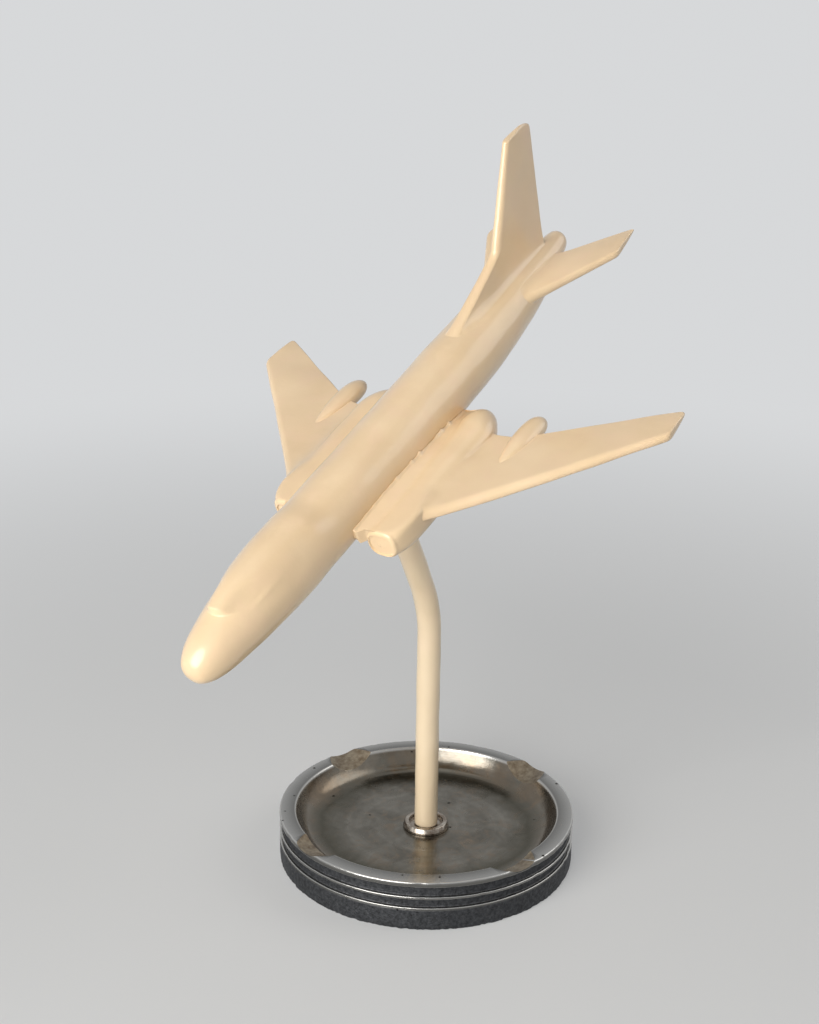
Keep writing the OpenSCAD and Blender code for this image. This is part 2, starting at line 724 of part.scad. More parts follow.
module fin() {
    low = 0.9 * fuselage_r;
    rise = fin_top - low;
    heights = concat([low / 2, low], [for (t = [0.25 : 0.25 : 1]) low + (fin_kink - low) * t]);
    function thick(z) = fin_thick + (fin_tip_thick - fin_thick) * max(0, z - low) / rise;
    body = [for (z = heights) fin_ring(z, 0, thick(z))];
    // the top slopes back and thins over its last stretch
    tip = [for (t = [0, 0.6, 0.85, 1]) fin_ring(fin_top - fin_cap * (1 - t), fin_cap_back * pow(t, 4),
        fin_tip_thick * (1 - 0.6 * pow(t, 8)))];
    color(enamel) in_flight() difference() {
        loft(concat(body, tip));
        tail_skin(skin_gap);
        fin_pin_places() fin_pin_hole();
    }
}

// The two places of the fin's pins, at the height where the fin meets the tail
module fin_pin_places() {
    for (x = [-fin_back, -bar_back])
        translate([x - fin_pin_in, 0, 0.85 * fuselage_r]) children();
}

module fin_pin_hole() {
    cylinder(d = fin_pin_d + 2 * fit_gap, h = fin_pin_l + 2 * end_room, center = true, $fn = pin_fn);
}

module fin_pins() {
    color(bright_steel) in_flight()
        fin_pin_places() cylinder(d = fin_pin_d, h = fin_pin_l, center = true, $fn = pin_fn);
}

// Ring of a tailplane at distance out from the centreline, made as a wing's ring is
function tailplane_ring(out, chord, thick, back = 0, slant = 0) =
    [for (q = blade_ring(chord, thick, blade_n))
        [-tailplane_back - out * tan(tailplane_sweep) - back - q[0], out - slant * q[0] / chord,
            tailplane_up + q[1]]];

module tailplane() {
    color(enamel) difference() {
        loft([tailplane_ring(0, tailplane_root, tailplane_thick),
            tailplane_ring(tailplane_out - tip_edge, tailplane_tip, tailplane_tip_thick, 0,
                tailplane_slant),
            tailplane_ring(tailplane_out, tailplane_tip - 1.5 * tip_edge,
                tailplane_tip_thick - 1.5 * tip_edge, 0.8 * tip_edge, tailplane_slant)]);
        tail_skin(skin_gap);
        translate([-bar_back, 0, tailplane_up]) cross_bar(bar_d + 2 * fit_gap, bar_l + 2 * end_room);
    }
}

module port_tailplane() {
    to_port() tailplane();
}

module starboard_tailplane() {
    to_starboard() tailplane();
}

module tailplane_pin() {
    color(bright_steel) in_flight() translate([-bar_back, 0, tailplane_up]) cross_bar(bar_d, bar_l);
}

piston_tray();
rod_collar();
stand_rod();
foot_washer();
foot_nut();
belly_insert();
nose_section();
centre_section();
tail_section();
nose_dowel();
tail_dowel();
wing_spar();
root_pins();
port_nacelle();
starboard_nacelle();
port_root_strip();
starboard_root_strip();
port_wing();
starboard_wing();
port_gear_pod();
starboard_gear_pod();
fin();
fin_pins();
port_tailplane();
starboard_tailplane();
tailplane_pin();
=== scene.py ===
import math

import bmesh
import bpy
import numpy as np
from mathutils import Matrix, Vector


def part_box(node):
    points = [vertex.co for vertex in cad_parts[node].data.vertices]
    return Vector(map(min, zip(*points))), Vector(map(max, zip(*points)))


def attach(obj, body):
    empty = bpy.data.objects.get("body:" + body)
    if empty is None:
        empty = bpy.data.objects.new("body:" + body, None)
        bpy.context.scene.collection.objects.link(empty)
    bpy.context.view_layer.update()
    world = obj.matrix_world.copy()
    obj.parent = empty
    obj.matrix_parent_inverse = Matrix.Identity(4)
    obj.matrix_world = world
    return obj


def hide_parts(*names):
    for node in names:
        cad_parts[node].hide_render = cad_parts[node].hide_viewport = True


# Cream airliner on a bent rod, in an ashtray turned from a piston. Sizes are in millimetres, but
# those of the floor and the lamps are in metres.
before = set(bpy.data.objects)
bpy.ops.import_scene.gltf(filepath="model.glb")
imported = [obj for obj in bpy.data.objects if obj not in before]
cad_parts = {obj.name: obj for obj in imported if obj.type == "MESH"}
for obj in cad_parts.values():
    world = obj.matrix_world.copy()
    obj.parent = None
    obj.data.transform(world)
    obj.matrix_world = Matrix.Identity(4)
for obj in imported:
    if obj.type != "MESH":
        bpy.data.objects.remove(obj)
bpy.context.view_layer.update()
scene = bpy.context.scene
mm = 0.001
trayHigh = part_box("piston_tray")[1] / mm

# How the rod holds the airliner: lengths in millimetres, turns in degrees
stance = {"bendHeight": 90.0, "bendRadius": 45.0, "rodTop": 64.0, "rodBack": 16.5, "dive": 27.0,
          "bank": 1.6}

onRod = (Matrix.Translation((0, 0, stance["bendHeight"]))
         @ Matrix.Rotation(math.radians(stance["dive"]), 4, "Y")
         @ Matrix.Translation((0, 0, stance["rodTop"])))
inFlight = (onRod @ Matrix.Translation((stance["rodBack"], 0, 0))
            @ Matrix.Rotation(math.radians(-stance["bank"]), 4, "X"))


def carried(points, place):  # the points where a matrix carries them
    matrix = np.array(place)
    return points @ matrix[:3, :3].T + matrix[:3, 3]


def turnSteps(around):  # even angles round a full turn
    return np.arange(around) * 2 * math.pi / around


# curves and outlines

def splineThrough(pairs):  # natural cubic through the pairs, with no kink in its bend
    x, y = np.array(pairs, float).T
    count = len(x)
    gap = np.diff(x)
    system = np.eye(count)
    right = np.zeros(count)
    for i in range(1, count - 1):
        system[i, i - 1:i + 2] = gap[i - 1], 2 * (gap[i - 1] + gap[i]), gap[i]
        right[i] = 6 * ((y[i + 1] - y[i]) / gap[i] - (y[i] - y[i - 1]) / gap[i - 1])
    bend = np.linalg.solve(system, right)

    def value(t):
        t = np.clip(t, x[0], x[-1])
        i = np.clip(np.searchsorted(x, t) - 1, 0, count - 2)
        after, before, g = t - x[i], x[i + 1] - t, gap[i]
        return ((bend[i] * before ** 3 + bend[i + 1] * after ** 3) / (6 * g)
                + (y[i] / g - bend[i] * g / 6) * before
                + (y[i + 1] / g - bend[i + 1] * g / 6) * after)

    return value


def roundOutline(pairs):  # the same for an outline with round ends, from 0 to 1 along it
    curve = splineThrough([(math.acos(1 - 2 * t), r) for t, r in pairs])
    return lambda t: curve(np.arccos(1 - 2 * np.clip(t, 0, 1)))


def smoothStep(t):
    t = np.clip(t, 0, 1)
    return t * t * (3 - 2 * t)


def blend(first, second, share):  # first where share is 0 and second where it is 1
    return first + (second - first) * share


def hump(distance, wide):  # 1 in its middle, falling away on both sides
    return np.exp(-(distance / wide) ** 2)


def softMax(a, b, reach):  # the larger of two, rounded where they are nearly equal
    share = np.clip(0.5 + 0.5 * (a - b) / reach, 0, 1)
    return b + (a - b) * share + reach * share * (1 - share)


def roundInto(distance, radius):  # how far a round fillet stands out at a distance from its foot
    inside = radius - np.clip(distance, 0, radius)
    return radius - np.sqrt(radius ** 2 - inside ** 2)


def ripple(points, size, seed):  # smooth hand-made unevenness, the same on every piece
    draw = np.random.default_rng(seed)
    total = np.zeros(len(points))
    waves = 10
    for _ in range(waves):
        way = draw.normal(size=3)
        way /= np.linalg.norm(way)
        length = size * draw.uniform(0.7, 1.6)
        total += np.sin(points @ way * 2 * math.pi / length + draw.uniform(0, 2 * math.pi))
    return total / math.sqrt(waves / 2)


# meshes

def loft(rings, startPole=None, endPole=None):  # skin over rings, closed at both ends
    rings = np.asarray(rings, float)
    count, around = rings.shape[:2]
    first = np.arange(around)
    following = (first + 1) % around
    faces = []
    for i in range(count - 1):
        a, b = i * around, (i + 1) * around
        faces += np.stack([a + first, a + following, b + following, b + first], 1).tolist()
    startPole = rings[0].mean(0) if startPole is None else startPole
    endPole = rings[-1].mean(0) if endPole is None else endPole
    points = np.vstack([rings.reshape(-1, 3), startPole, endPole])
    start, end, last = count * around, count * around + 1, (count - 1) * around
    faces += [(start, int(k), int(j)) for j, k in zip(first, following)]
    faces += [(end, last + int(j), last + int(k)) for j, k in zip(first, following)]
    return points, faces


def revolve(profile, segments):  # closed (radius, height) profile turned round the z axis
    profile = np.asarray(profile, float)
    count = len(profile)
    angle = turnSteps(segments)
    points = np.stack([np.outer(np.cos(angle), profile[:, 0]), np.outer(np.sin(angle), profile[:, 0]),
                       np.broadcast_to(profile[:, 1], (segments, count))], 2).reshape(-1, 3)
    faces = []
    for i in range(segments):
        a, b = i * count, (i + 1) % segments * count
        faces += [(a + j, b + j, b + (j + 1) % count, a + (j + 1) % count) for j in range(count)]
    return points, faces


def roundedCorners(corners):  # closed outline of (x, y, rounding) with its corners rounded
    steps = 5
    mostOfSide = 0.48
    result = []
    for i, (x, y, rounding) in enumerate(corners):
        here = np.array([x, y], float)
        before = np.array(corners[i - 1][:2], float) - here
        after = np.array(corners[(i + 1) % len(corners)][:2], float) - here
        if rounding == 0:
            result.append(here)
            continue
        lengths = np.linalg.norm(before), np.linalg.norm(after)
        before, after = before / lengths[0], after / lengths[1]
        half = math.acos(np.clip(before @ after, -1, 1)) / 2
        reach = min(rounding / math.tan(half), mostOfSide * min(lengths))
        for t in np.linspace(0, 1, steps):
            result.append(here + before * reach * (1 - t) ** 2 + after * reach * t ** 2)
    return np.array(result)


def edited(mesh, change):  # lets a function change the faces and edges of a mesh
    body = bmesh.new()
    body.from_mesh(mesh)
    change(body)
    body.to_mesh(mesh)
    body.free()
    return mesh


def shadeSmooth(mesh, sharpFrom, turnOut=False):  # smooth, with sharp edges past an angle in degrees
    def shade(body):
        if turnOut:
            bmesh.ops.recalc_face_normals(body, faces=body.faces)
        for face in body.faces:
            face.smooth = True
        for edge in body.edges:
            if len(edge.link_faces) == 2:
                edge.smooth = edge.calc_face_angle() < math.radians(sharpFrom)

    return edited(mesh, shade)


def meshOf(name, points, faces, sharpFrom=38):
    mesh = bpy.data.meshes.new(name)
    mesh.from_pydata((np.asarray(points) * mm).tolist(), [], faces)
    return shadeSmooth(mesh, sharpFrom, turnOut=True)


def newObject(name, data):
    made = bpy.data.objects.new(name, data)
    scene.collection.objects.link(made)
    return made


def addPiece(name, mesh, material, body, slotName, *nodes):
    piece = newObject(name, mesh)
    mesh.materials.clear()
    mesh.materials.append(material)
    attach(piece, body)
    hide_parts(*nodes)


filing = {"amount": 0.045, "size": 13.0, "inward": 1.2, "seed": 7}


def filed(points):  # how far hand filing has moved the surface at these points
    return filing["amount"] * (ripple(points, filing["size"], filing["seed"]) - filing["inward"])


def pointsOf(mesh):
    place = np.zeros(len(mesh.vertices) * 3)
    mesh.vertices.foreach_get("co", place)
    return place.reshape(-1, 3)


def handMade(mesh):  # files a mesh slightly uneven, along its normals
    place = pointsOf(mesh)
    normal = np.zeros(place.size)
    mesh.vertex_normals.foreach_get("vector", normal)
    lift = filed(place / mm) * mm
    mesh.vertices.foreach_set("co", (place + normal.reshape(-1, 3) * lift[:, None]).ravel())
    mesh.update()
    return mesh


# materials

def node(tree, kind, inputs=None, **settings):
    made = tree.nodes.new("ShaderNode" + kind)
    for key, value in settings.items():
        setattr(made, key, value)
    for key, value in (inputs or {}).items():
        if isinstance(value, bpy.types.NodeSocket):
            tree.links.new(value, made.inputs[key])
        else:
            made.inputs[key].default_value = value
    return made


def blankMaterial(name, **constants):  # with its nodes, its shader and the place on the piece
    material = bpy.data.materials.new(name)
    material.use_nodes = True
    tree = material.node_tree
    shader = tree.nodes["Principled BSDF"]
    for key, value in constants.items():
        shader.inputs[key.replace("_", " ")].default_value = value
    return material, tree, shader, node(tree, "TexCoord").outputs["Object"]


def dress(tree, shader, colour, gloss, skin):
    for key, value in (("Base Color", colour), ("Roughness", gloss), ("Normal", skin)):
        tree.links.new(value, shader.inputs[key])


def noiseAt(tree, where, size, detail=3.0, roughness=0.5, distortion=0.0):  # size in millimetres
    return node(tree, "TexNoise", {"Vector": where, "Scale": 1 / (size * mm), "Detail": detail,
                                   "Roughness": roughness, "Distortion": distortion}).outputs["Fac"]


def stretch(tree, value, low, high, toLow=0.0, toHigh=1.0):
    return node(tree, "MapRange", {"Value": value, "From Min": low, "From Max": high,
                                   "To Min": toLow, "To Max": toHigh}).outputs["Result"]


def patches(tree, where, size, detail, spread, roughness=0.5, to=(0.0, 1.0), distortion=0.0):
    noise = noiseAt(tree, where, size, detail, roughness, distortion)
    return stretch(tree, noise, *spread, *to)


def mixColours(tree, share, first, second, way="MIX"):
    return node(tree, "Mix", {0: share, 6: first, 7: second}, data_type="RGBA",
                blend_type=way).outputs[2]


def mixValues(tree, share, first, second):
    return node(tree, "Mix", {0: share, 2: first, 3: second}).outputs[0]


def grey(tree, value):
    return node(tree, "CombineColor", {0: value, 1: value, 2: value}).outputs[0]


def math2(tree, way, first, second=0.0):
    return node(tree, "Math", {0: first, 1: second}, operation=way).outputs[0]


def bumpFrom(tree, height, distance, strength=1.0, under=None):  # distance in millimetres
    inputs = {"Height": height, "Distance": distance * mm, "Strength": strength}
    if under is not None:
        inputs["Normal"] = under
    return node(tree, "Bump", inputs).outputs["Normal"]


creams = {
    "creamEnamel": {"light": (0.87, 0.655, 0.41, 1), "deep": (0.80, 0.583, 0.345, 1),
                    "pink": (0.86, 0.61, 0.40, 1), "dirt": (0.42, 0.30, 0.17, 1)},
    "rodEnamel": {"light": (0.86, 0.70, 0.485, 1), "deep": (0.80, 0.64, 0.43, 1),
                  "pink": (0.85, 0.67, 0.47, 1), "dirt": (0.42, 0.32, 0.2, 1)},
}


def creamEnamel(name):
    cream = creams[name]
    material, tree, shader, where = blankMaterial(name, IOR=1.5, Coat_Weight=0.75, Coat_Roughness=0.12)
    broad = patches(tree, where, 26, 3, (0.35, 0.68))
    blush = patches(tree, where, 9, 4, (0.48, 0.75), 0.6, (0, 0.6))
    colour = mixColours(tree, broad, cream["light"], cream["deep"])
    colour = mixColours(tree, blush, colour, cream["pink"])
    grime = patches(tree, where, 0.9, 4, (0.72, 0.8), 0.7, (0, 0.22))
    colour = mixColours(tree, grime, colour, cream["dirt"])
    gloss = patches(tree, where, 5, 4, (0.3, 0.7), 0.6, (0.28, 0.42))
    skin = bumpFrom(tree, noiseAt(tree, where, 4.5, 2), 0.16, 0.6)
    skin = bumpFrom(tree, noiseAt(tree, where, 0.9, 3), 0.025, 0.5, skin)
    dress(tree, shader, colour, gloss, skin)
    return material


def turnedSteel():
    # colours of the tray: the dark ring colour and the rim colour are painted shade for the dark room the
    # metal reflects, and the edge colour is painted highlight, partly real wear
    steel = {"face": (0.25, 0.235, 0.205, 1), "dull": (0.115, 0.105, 0.086, 1),
             "patina": (0.225, 0.168, 0.118, 1), "paintedShade": (0.062, 0.056, 0.038, 1),
             "pit": (0.012, 0.010, 0.008, 1), "cast": (0.06, 0.062, 0.066, 1),
             "edge": (0.60, 0.59, 0.57, 1), "rim": (0.09, 0.089, 0.084, 1),
             "pitSpacing": 7.5, "pitSize": 0.1, "castRoughness": 0.62, "edgeRoughness": 0.24}
    # radii at which the dish changes from bare floor to a ring of painted shade, brown wall and rim
    dish = {"shadeStart": 27.0, "shadeDeepest": 35.5, "wall": 41.0, "rim": 44.2, "rimEnd": 45.0, "depth": 0.88,
            "wander": 2.4}
    material, tree, shader, where = blankMaterial("turnedSteel", Metallic=1.0)
    axes = node(tree, "SeparateXYZ", {0: where})
    flat = node(tree, "CombineXYZ", {0: axes.outputs[0], 1: axes.outputs[1]}).outputs[0]
    radius = node(tree, "VectorMath", {0: flat}, operation="LENGTH").outputs["Value"]
    rings = node(tree, "CombineXYZ", {0: radius, 2: axes.outputs[2]}).outputs[0]

    def between(value, low, high, start=0, end=1):  # rises, or falls, from one radius to another
        return stretch(tree, value, dish[low] * mm, dish[high] * mm, start, end)

    def times(first, second):
        return math2(tree, "MULTIPLY", first, second)

    turning = noiseAt(tree, rings, 0.35, 4, 0.7)
    bands = patches(tree, rings, 3.2, 3, (0.35, 0.65), 0.6, (0, 0.45))
    cloud = patches(tree, where, 11, 5, (0.36, 0.66), 0.62, distortion=0.6)
    stain = patches(tree, where, 6, 5, (0.5, 0.72), 0.65, (0, 0.85), 1.2)
    colour = mixColours(tree, cloud, steel["face"], steel["dull"])
    colour = mixColours(tree, bands, colour, steel["dull"])
    colour = mixColours(tree, stain, colour, steel["patina"])
    colour = mixColours(tree, stretch(tree, turning, 0.3, 0.7, 0, 0.45), colour, steel["dull"])
    # the dish is darkest in a broad ring round its foot, painted shade for the dark room it reflects, and
    # brown above it
    ragged = math2(tree, "ADD", radius, times(math2(tree, "SUBTRACT", cloud, 0.5), dish["wander"] * mm))
    inner = between(ragged, "shadeStart", "shadeDeepest")
    outer = between(ragged, "shadeDeepest", "wall", 1, 0)
    ring = times(times(inner, outer), dish["depth"])
    brown = between(ragged, "shadeDeepest", "wall")
    brown = times(brown, between(radius, "rim", "rimEnd", 1, 0))
    brown = times(brown, patches(tree, where, 14, 3, (0.4, 0.6), to=(0.0, 0.5)))
    colour = mixColours(tree, brown, colour, steel["patina"])
    # painted shade: the ring darkens the dish where it reflects a dark room
    colour = mixColours(tree, ring, colour, steel["paintedShade"])
    # painted shade: the rim and everything outside it are darkened for the dark room they reflect
    colour = mixColours(tree, between(radius, "rim", "rimEnd", 0, 0.92), colour, steel["rim"])
    wearAndHighlight = node(tree, "Attribute", attribute_name="wearAndHighlight").outputs["Fac"]
    cast = node(tree, "Attribute", attribute_name="cast").outputs["Fac"]
    grain = grey(tree, patches(tree, where, 1.1, 4, (0.3, 0.75), 0.7, (0.5, 1.7)))
    colour = mixColours(tree, cast, colour, mixColours(tree, 1.0, steel["cast"], grain, "MULTIPLY"))
    # bright edges: painted highlight, partly real rubbed wear
    colour = mixColours(tree, times(wearAndHighlight, 0.85), colour, steel["edge"])
    dots = node(tree, "TexVoronoi", {"Vector": where, "Scale": 1 / (steel["pitSpacing"] * mm),
                                     "Randomness": 1.0})
    roughDots = math2(tree, "ADD", dots.outputs["Distance"], times(noiseAt(tree, where, 0.8, 3), 0.12))
    pit = stretch(tree, roughDots, steel["pitSize"], steel["pitSize"] + 0.045, 1, 0)
    colour = mixColours(tree, pit, colour, steel["pit"])
    gloss = patches(tree, where, 4, 5, (0.3, 0.7), 0.65, (0.13, 0.31))
    gloss = mixValues(tree, cast, gloss, steel["castRoughness"])
    gloss = mixValues(tree, wearAndHighlight, gloss, steel["edgeRoughness"])
    gloss = math2(tree, "ADD", gloss, times(pit, 0.4))
    skin = bumpFrom(tree, turning, 0.05, 0.3)
    skin = bumpFrom(tree, noiseAt(tree, where, 2.2, 5, 0.6), 0.12, 0.35, skin)
    skin = bumpFrom(tree, times(noiseAt(tree, where, 0.55, 3), cast), 0.3, 0.8, skin)
    dress(tree, shader, colour, gloss, skin)
    return material


metals = {  # paler and darker colour, and middle roughness
    "brightSteel": ((0.56, 0.55, 0.53, 1), (0.34, 0.32, 0.30, 1), 0.26),
    "collarSteel": ((0.42, 0.38, 0.33, 1), (0.16, 0.12, 0.09, 1), 0.24),
    "restSteel": ((0.30, 0.255, 0.19, 1), (0.14, 0.105, 0.07, 1), 0.42),
    "insertBrass": ((0.66, 0.47, 0.2, 1), (0.42, 0.28, 0.11, 1), 0.3),
}


def dullMetal(name):
    base, deep, roughness = metals[name]
    material, tree, shader, where = blankMaterial(name, Metallic=1.0)
    cloud = patches(tree, where, 2.4, 5, (0.35, 0.68), 0.65)
    colour = mixColours(tree, cloud, base, deep)
    gloss = patches(tree, where, 0.9, 4, (0.3, 0.7), 0.6, (roughness - 0.08, roughness + 0.14))
    skin = bumpFrom(tree, noiseAt(tree, where, 0.5, 4, 0.6), 0.05, 0.5)
    dress(tree, shader, colour, gloss, skin)
    return material


enamel = creamEnamel("creamEnamel")
rodEnamel = creamEnamel("rodEnamel")
pistonSteel = turnedSteel()
brightSteel, collarSteel, restSteel, insertBrass = (dullMetal(name) for name in metals)
print("materials made")


# fuselage

fuselage = {
    "radius": 11.25, "noseAhead": 76.5, "noseLength": 45.0, "noseDroop": 1.2, "frontJoint": 15.0,
    "rearJoint": 58.0, "tailBack": 133.0, "tailRise": 3.6, "around": 160,
    "noseOutline": [(0, 0), (0.004, 0.15), (0.015, 0.28), (0.045, 0.42), (0.09, 0.53), (0.18, 0.655),
                    (0.32, 0.76), (0.5, 0.86), (0.72, 0.945), (1, 1)],
    "tailOutline": [(0, 1), (0.16, 0.985), (0.32, 0.94), (0.48, 0.86), (0.67, 0.715), (0.83, 0.52),
                    (0.93, 0.38), (0.975, 0.29), (0.995, 0.14), (1, 0)],
}
hood = {
    "back": 15.1, "length": 44.0, "rise": 1.2, "bow": 2.6, "bowHalfWidth": 4.8, "step": 0.8,
    "ledgeHalfWidth": 3.9, "sideAhead": 3.0, "sideRun": 17.0, "crease": 2.2, "rearFade": 9.0,
    "ridge": 0.2, "ridgeTurn": 38.5, "ridgeWide": 5.0, "ridgeMiddle": 28.5, "ridgeHalf": 6.5,
    "fineFrom": 14.5, "fineTo": 19.6, "fineStep": 0.11,
    "width": [(0, 0.28), (0.02, 0.42), (0.05, 0.54), (0.1, 0.64), (0.2, 0.72), (0.4, 0.76), (1, 0.78)],
    "top": [(0, 0.915), (0.05, 0.955), (0.1, 1.0), (0.2, 1.06), (0.35, 1.1), (0.6, 1.1), (1, 0.995)],
}
noseShare = roundOutline(fuselage["noseOutline"])
tailShare = roundOutline(fuselage["tailOutline"])
hoodWidth = splineThrough(hood["width"])
hoodTop = splineThrough(hood["top"])
tailLength = fuselage["tailBack"] - fuselage["rearJoint"]


def skinRadius(x):
    nose = noseShare((fuselage["noseAhead"] - x) / fuselage["noseLength"])
    tail = tailShare((-fuselage["rearJoint"] - x) / tailLength)
    return fuselage["radius"] * np.where(x > 0, nose, tail)


def skinCentre(x):  # height of the section's middle: the nose droops and the tail rises
    nose = np.clip(1 - (fuselage["noseAhead"] - x) / fuselage["noseLength"], 0, 1)
    tail = np.clip((-fuselage["rearJoint"] - x) / tailLength, 0, 1)
    return fuselage["tailRise"] * tail ** 2.2 - fuselage["noseDroop"] * nose ** 1.5


def aboveSkin(points):  # height of points above the fuselage's skin
    x, y, z = np.moveaxis(points, -1, 0)
    return np.hypot(y, z - skinCentre(x)) - skinRadius(x)


def roundRing(x, centre, radius, around):
    angle = turnSteps(around)
    return np.stack([np.full(around, x), radius * np.cos(angle), centre + radius * np.sin(angle)], 1)


def noseSteps(back):  # distances behind the nose: close at the tip and at the foot of the hood
    tip = 0.5 * (1 - np.cos(np.arange(0.05, 0.9, 0.035))) * fuselage["noseLength"]
    return np.concatenate([tip, np.arange(tip[-1] + 0.5, hood["fineFrom"] - 0.1, 0.5),
                           np.arange(hood["fineFrom"], hood["fineTo"], hood["fineStep"]),
                           np.arange(hood["fineTo"] + 0.4, back, 0.8), [back]])


def hoodStand(s, back, radius, centre, angle):  # how far the hood stands out of the nose at s
    y = radius * np.cos(angle)
    past = s - hood["back"] - hood["bow"] * (y / hood["bowHalfWidth"]) ** 2
    share = np.clip(past / hood["length"], 0, 1)
    hoodRadius = fuselage["radius"] * hoodWidth(share)
    lift = hood["rise"] / (0.1 * fuselage["radius"])
    top = fuselage["radius"] * (1 + lift * (hoodTop(share) - 1))
    rise = top - hoodRadius - centre
    inside = hoodRadius ** 2 - (rise * np.cos(angle)) ** 2
    reach = np.where(inside > 0, rise * np.sin(angle) + np.sqrt(np.maximum(inside, 0)), 0)
    # the hood steps up at its bowed foot in the middle, and rises softly out of the nose beside it
    stand = softMax(reach - radius, 0, hood["crease"]) * (np.sin(angle) > 0)
    ledge = np.exp(-(y / hood["ledgeHalfWidth"]) ** 4)
    soft = smoothStep((past + hood["sideAhead"]) / hood["sideRun"])
    stand *= ledge * smoothStep(past / hood["step"]) + (1 - ledge) * soft
    stand *= smoothStep((back - s) / hood["rearFade"])
    aside = np.degrees(np.arccos(np.clip(np.abs(np.cos(angle)), 0, 1))) - hood["ridgeTurn"]
    ridge = hump(s - hood["ridgeMiddle"], hood["ridgeHalf"]) * hump(aside, hood["ridgeWide"])
    return stand + hood["ridge"] * ridge * (np.sin(angle) > 0)


def noseSection():
    back = fuselage["noseAhead"] - fuselage["frontJoint"]
    angle = turnSteps(fuselage["around"])
    rings = []
    for s in noseSteps(back):
        x = fuselage["noseAhead"] - s
        radius, centre = float(skinRadius(x)), float(skinCentre(x))
        rings.append(roundRing(x, centre, radius + hoodStand(s, back, radius, centre, angle), len(angle)))
    return loft(rings, startPole=(fuselage["noseAhead"], 0, -fuselage["noseDroop"]))


def centreSection():
    stations = np.linspace(fuselage["frontJoint"], -fuselage["rearJoint"], 60)
    return loft([roundRing(x, 0, fuselage["radius"], fuselage["around"]) for x in stations])


def tailSection():
    shares = np.concatenate([np.linspace(0, 0.85, 60), 0.5 * (1 - np.cos(np.arange(2.36, 3.12, 0.03)))])
    rings = [roundRing(x, float(skinCentre(x)), float(skinRadius(x)), fuselage["around"])
             for x in -fuselage["rearJoint"] - tailLength * shares]
    return loft(rings, endPole=(-fuselage["tailBack"], 0, fuselage["tailRise"]))


def filedRound(shape):  # files a section square to its axis, so that its joints stay shut
    points, faces = shape
    x, y, z = points.T
    up = z - skinCentre(x)
    radius = np.maximum(np.hypot(y, up), 1e-6)
    share = 1 + filed(carried(points, inFlight)) * np.clip(radius, 0, 1) / radius
    return np.stack([x, y * share, z + up * (share - 1)], 1), faces


def enamelPiece(name, shape, nodeName, sharpFrom=38, place=inFlight, finish=handMade, coat=enamel):
    points, faces = shape
    mesh = meshOf(name, carried(points, place), faces, sharpFrom)
    if finish:
        mesh = finish(mesh)
    addPiece(name, mesh, coat, "airliner", "enamel", nodeName)


for name, shape, nodeName in (("noseSection", noseSection(), "nose_section"),
                              ("centreSection", centreSection(), "centre_section"),
                              ("tailSection", tailSection(), "tail_section")):
    enamelPiece(name, filedRound(shape), nodeName, finish=None)
print("fuselage made")


# nacelles

nacelle = {
    "out": 19.6, "low": 6.6, "width": 12.2, "height": 10.6, "ahead": 10.8, "back": 51.5,
    "domeLength": 11.0, "domeIn": 1.6, "domeUp": 0.6, "lipWidth": 10.7, "lipHeight": 9.8,
    "intakeIn": 1.5, "intakeDrop": -0.4, "lipRound": 1.1, "rimWide": 1.35, "lipLean": 0.4, "recess": 0.45,
    "flareBack": 5.0, "flarePower": 3.2, "crest": 8.0, "crestLip": 3.2, "crestRear": 2.3,
    "crestFade": 14.0, "inner": 3.4, "under": 2.4, "lipInner": 0.6, "domeCrest": 0.6,
    "domeInner": 1.1, "domeUnder": 0.2, "seat": 24.9, "starboardBack": 2.2, "around": 160,
}


def crossRing(x, y, z, width, height, crest, inner, under):
    # rounded section: crest is the squareness of its upper outer corner, inner of the side at the
    # fuselage and under of the lower outer corner
    angle = turnSteps(nacelle["around"])
    c, s = np.cos(angle), np.sin(angle)
    power = 2 / np.where(c < 0, inner, np.where(s > 0, crest, under))
    return np.stack([np.full(len(angle), x), y + width / 2 * np.sign(c) * np.abs(c) ** power,
                     z + height / 2 * np.sign(s) * np.abs(s) ** power], 1)


def crestPower(x):  # squareness of the upper outer corner, which fades behind the wing's front
    fade = np.clip(1 + x / nacelle["crestFade"], 0, 1) ** 2
    return blend(nacelle["crestRear"], nacelle["crest"], fade)


def nacelleMeasures(x, held=0.0):  # centre, width, height and squareness of the section at x
    front = nacelle["ahead"] - held - nacelle["lipRound"]
    straight = nacelle["back"] - nacelle["domeLength"]
    share = max(0.0, min(1.0, (x + nacelle["flareBack"]) / (front + nacelle["flareBack"])))
    share = share ** nacelle["flarePower"]
    crest = float(blend(crestPower(x), nacelle["crestLip"], share))
    sine = max(0.0, min(1.0, (-straight - x) / nacelle["domeLength"]))
    cosine = math.sqrt(max(0.0, 1 - sine ** 2))
    return (nacelle["out"] - nacelle["intakeIn"] * share - nacelle["domeIn"] * sine,
            -nacelle["low"] - nacelle["intakeDrop"] * share + nacelle["domeUp"] * sine,
            blend(nacelle["width"], nacelle["lipWidth"], share) * cosine,
            blend(nacelle["height"], nacelle["lipHeight"], share) * cosine,
            crest - nacelle["domeCrest"] * sine,
            nacelle["inner"] - nacelle["lipInner"] * share - nacelle["domeInner"] * sine,
            nacelle["under"] - nacelle["domeUnder"] * sine)


def nacelleRing(x, at, held=0.0, grow=0.0, drop=0.0):  # section drawn at x with the measures of at
    y, z, width, height, crest, inner, under = nacelleMeasures(at, held)
    return crossRing(x, y, z - drop, width + grow, height + grow, crest, inner, under)


def nacelleTop(x, y):  # height of a nacelle's upper face
    centre, z, width, height, crest, inner, _ = nacelleMeasures(x)
    power = inner if y < centre else crest
    across = min(1.0, abs(y - centre) / (width / 2))
    return z + height / 2 * (1 - across ** power) ** (1 / power)


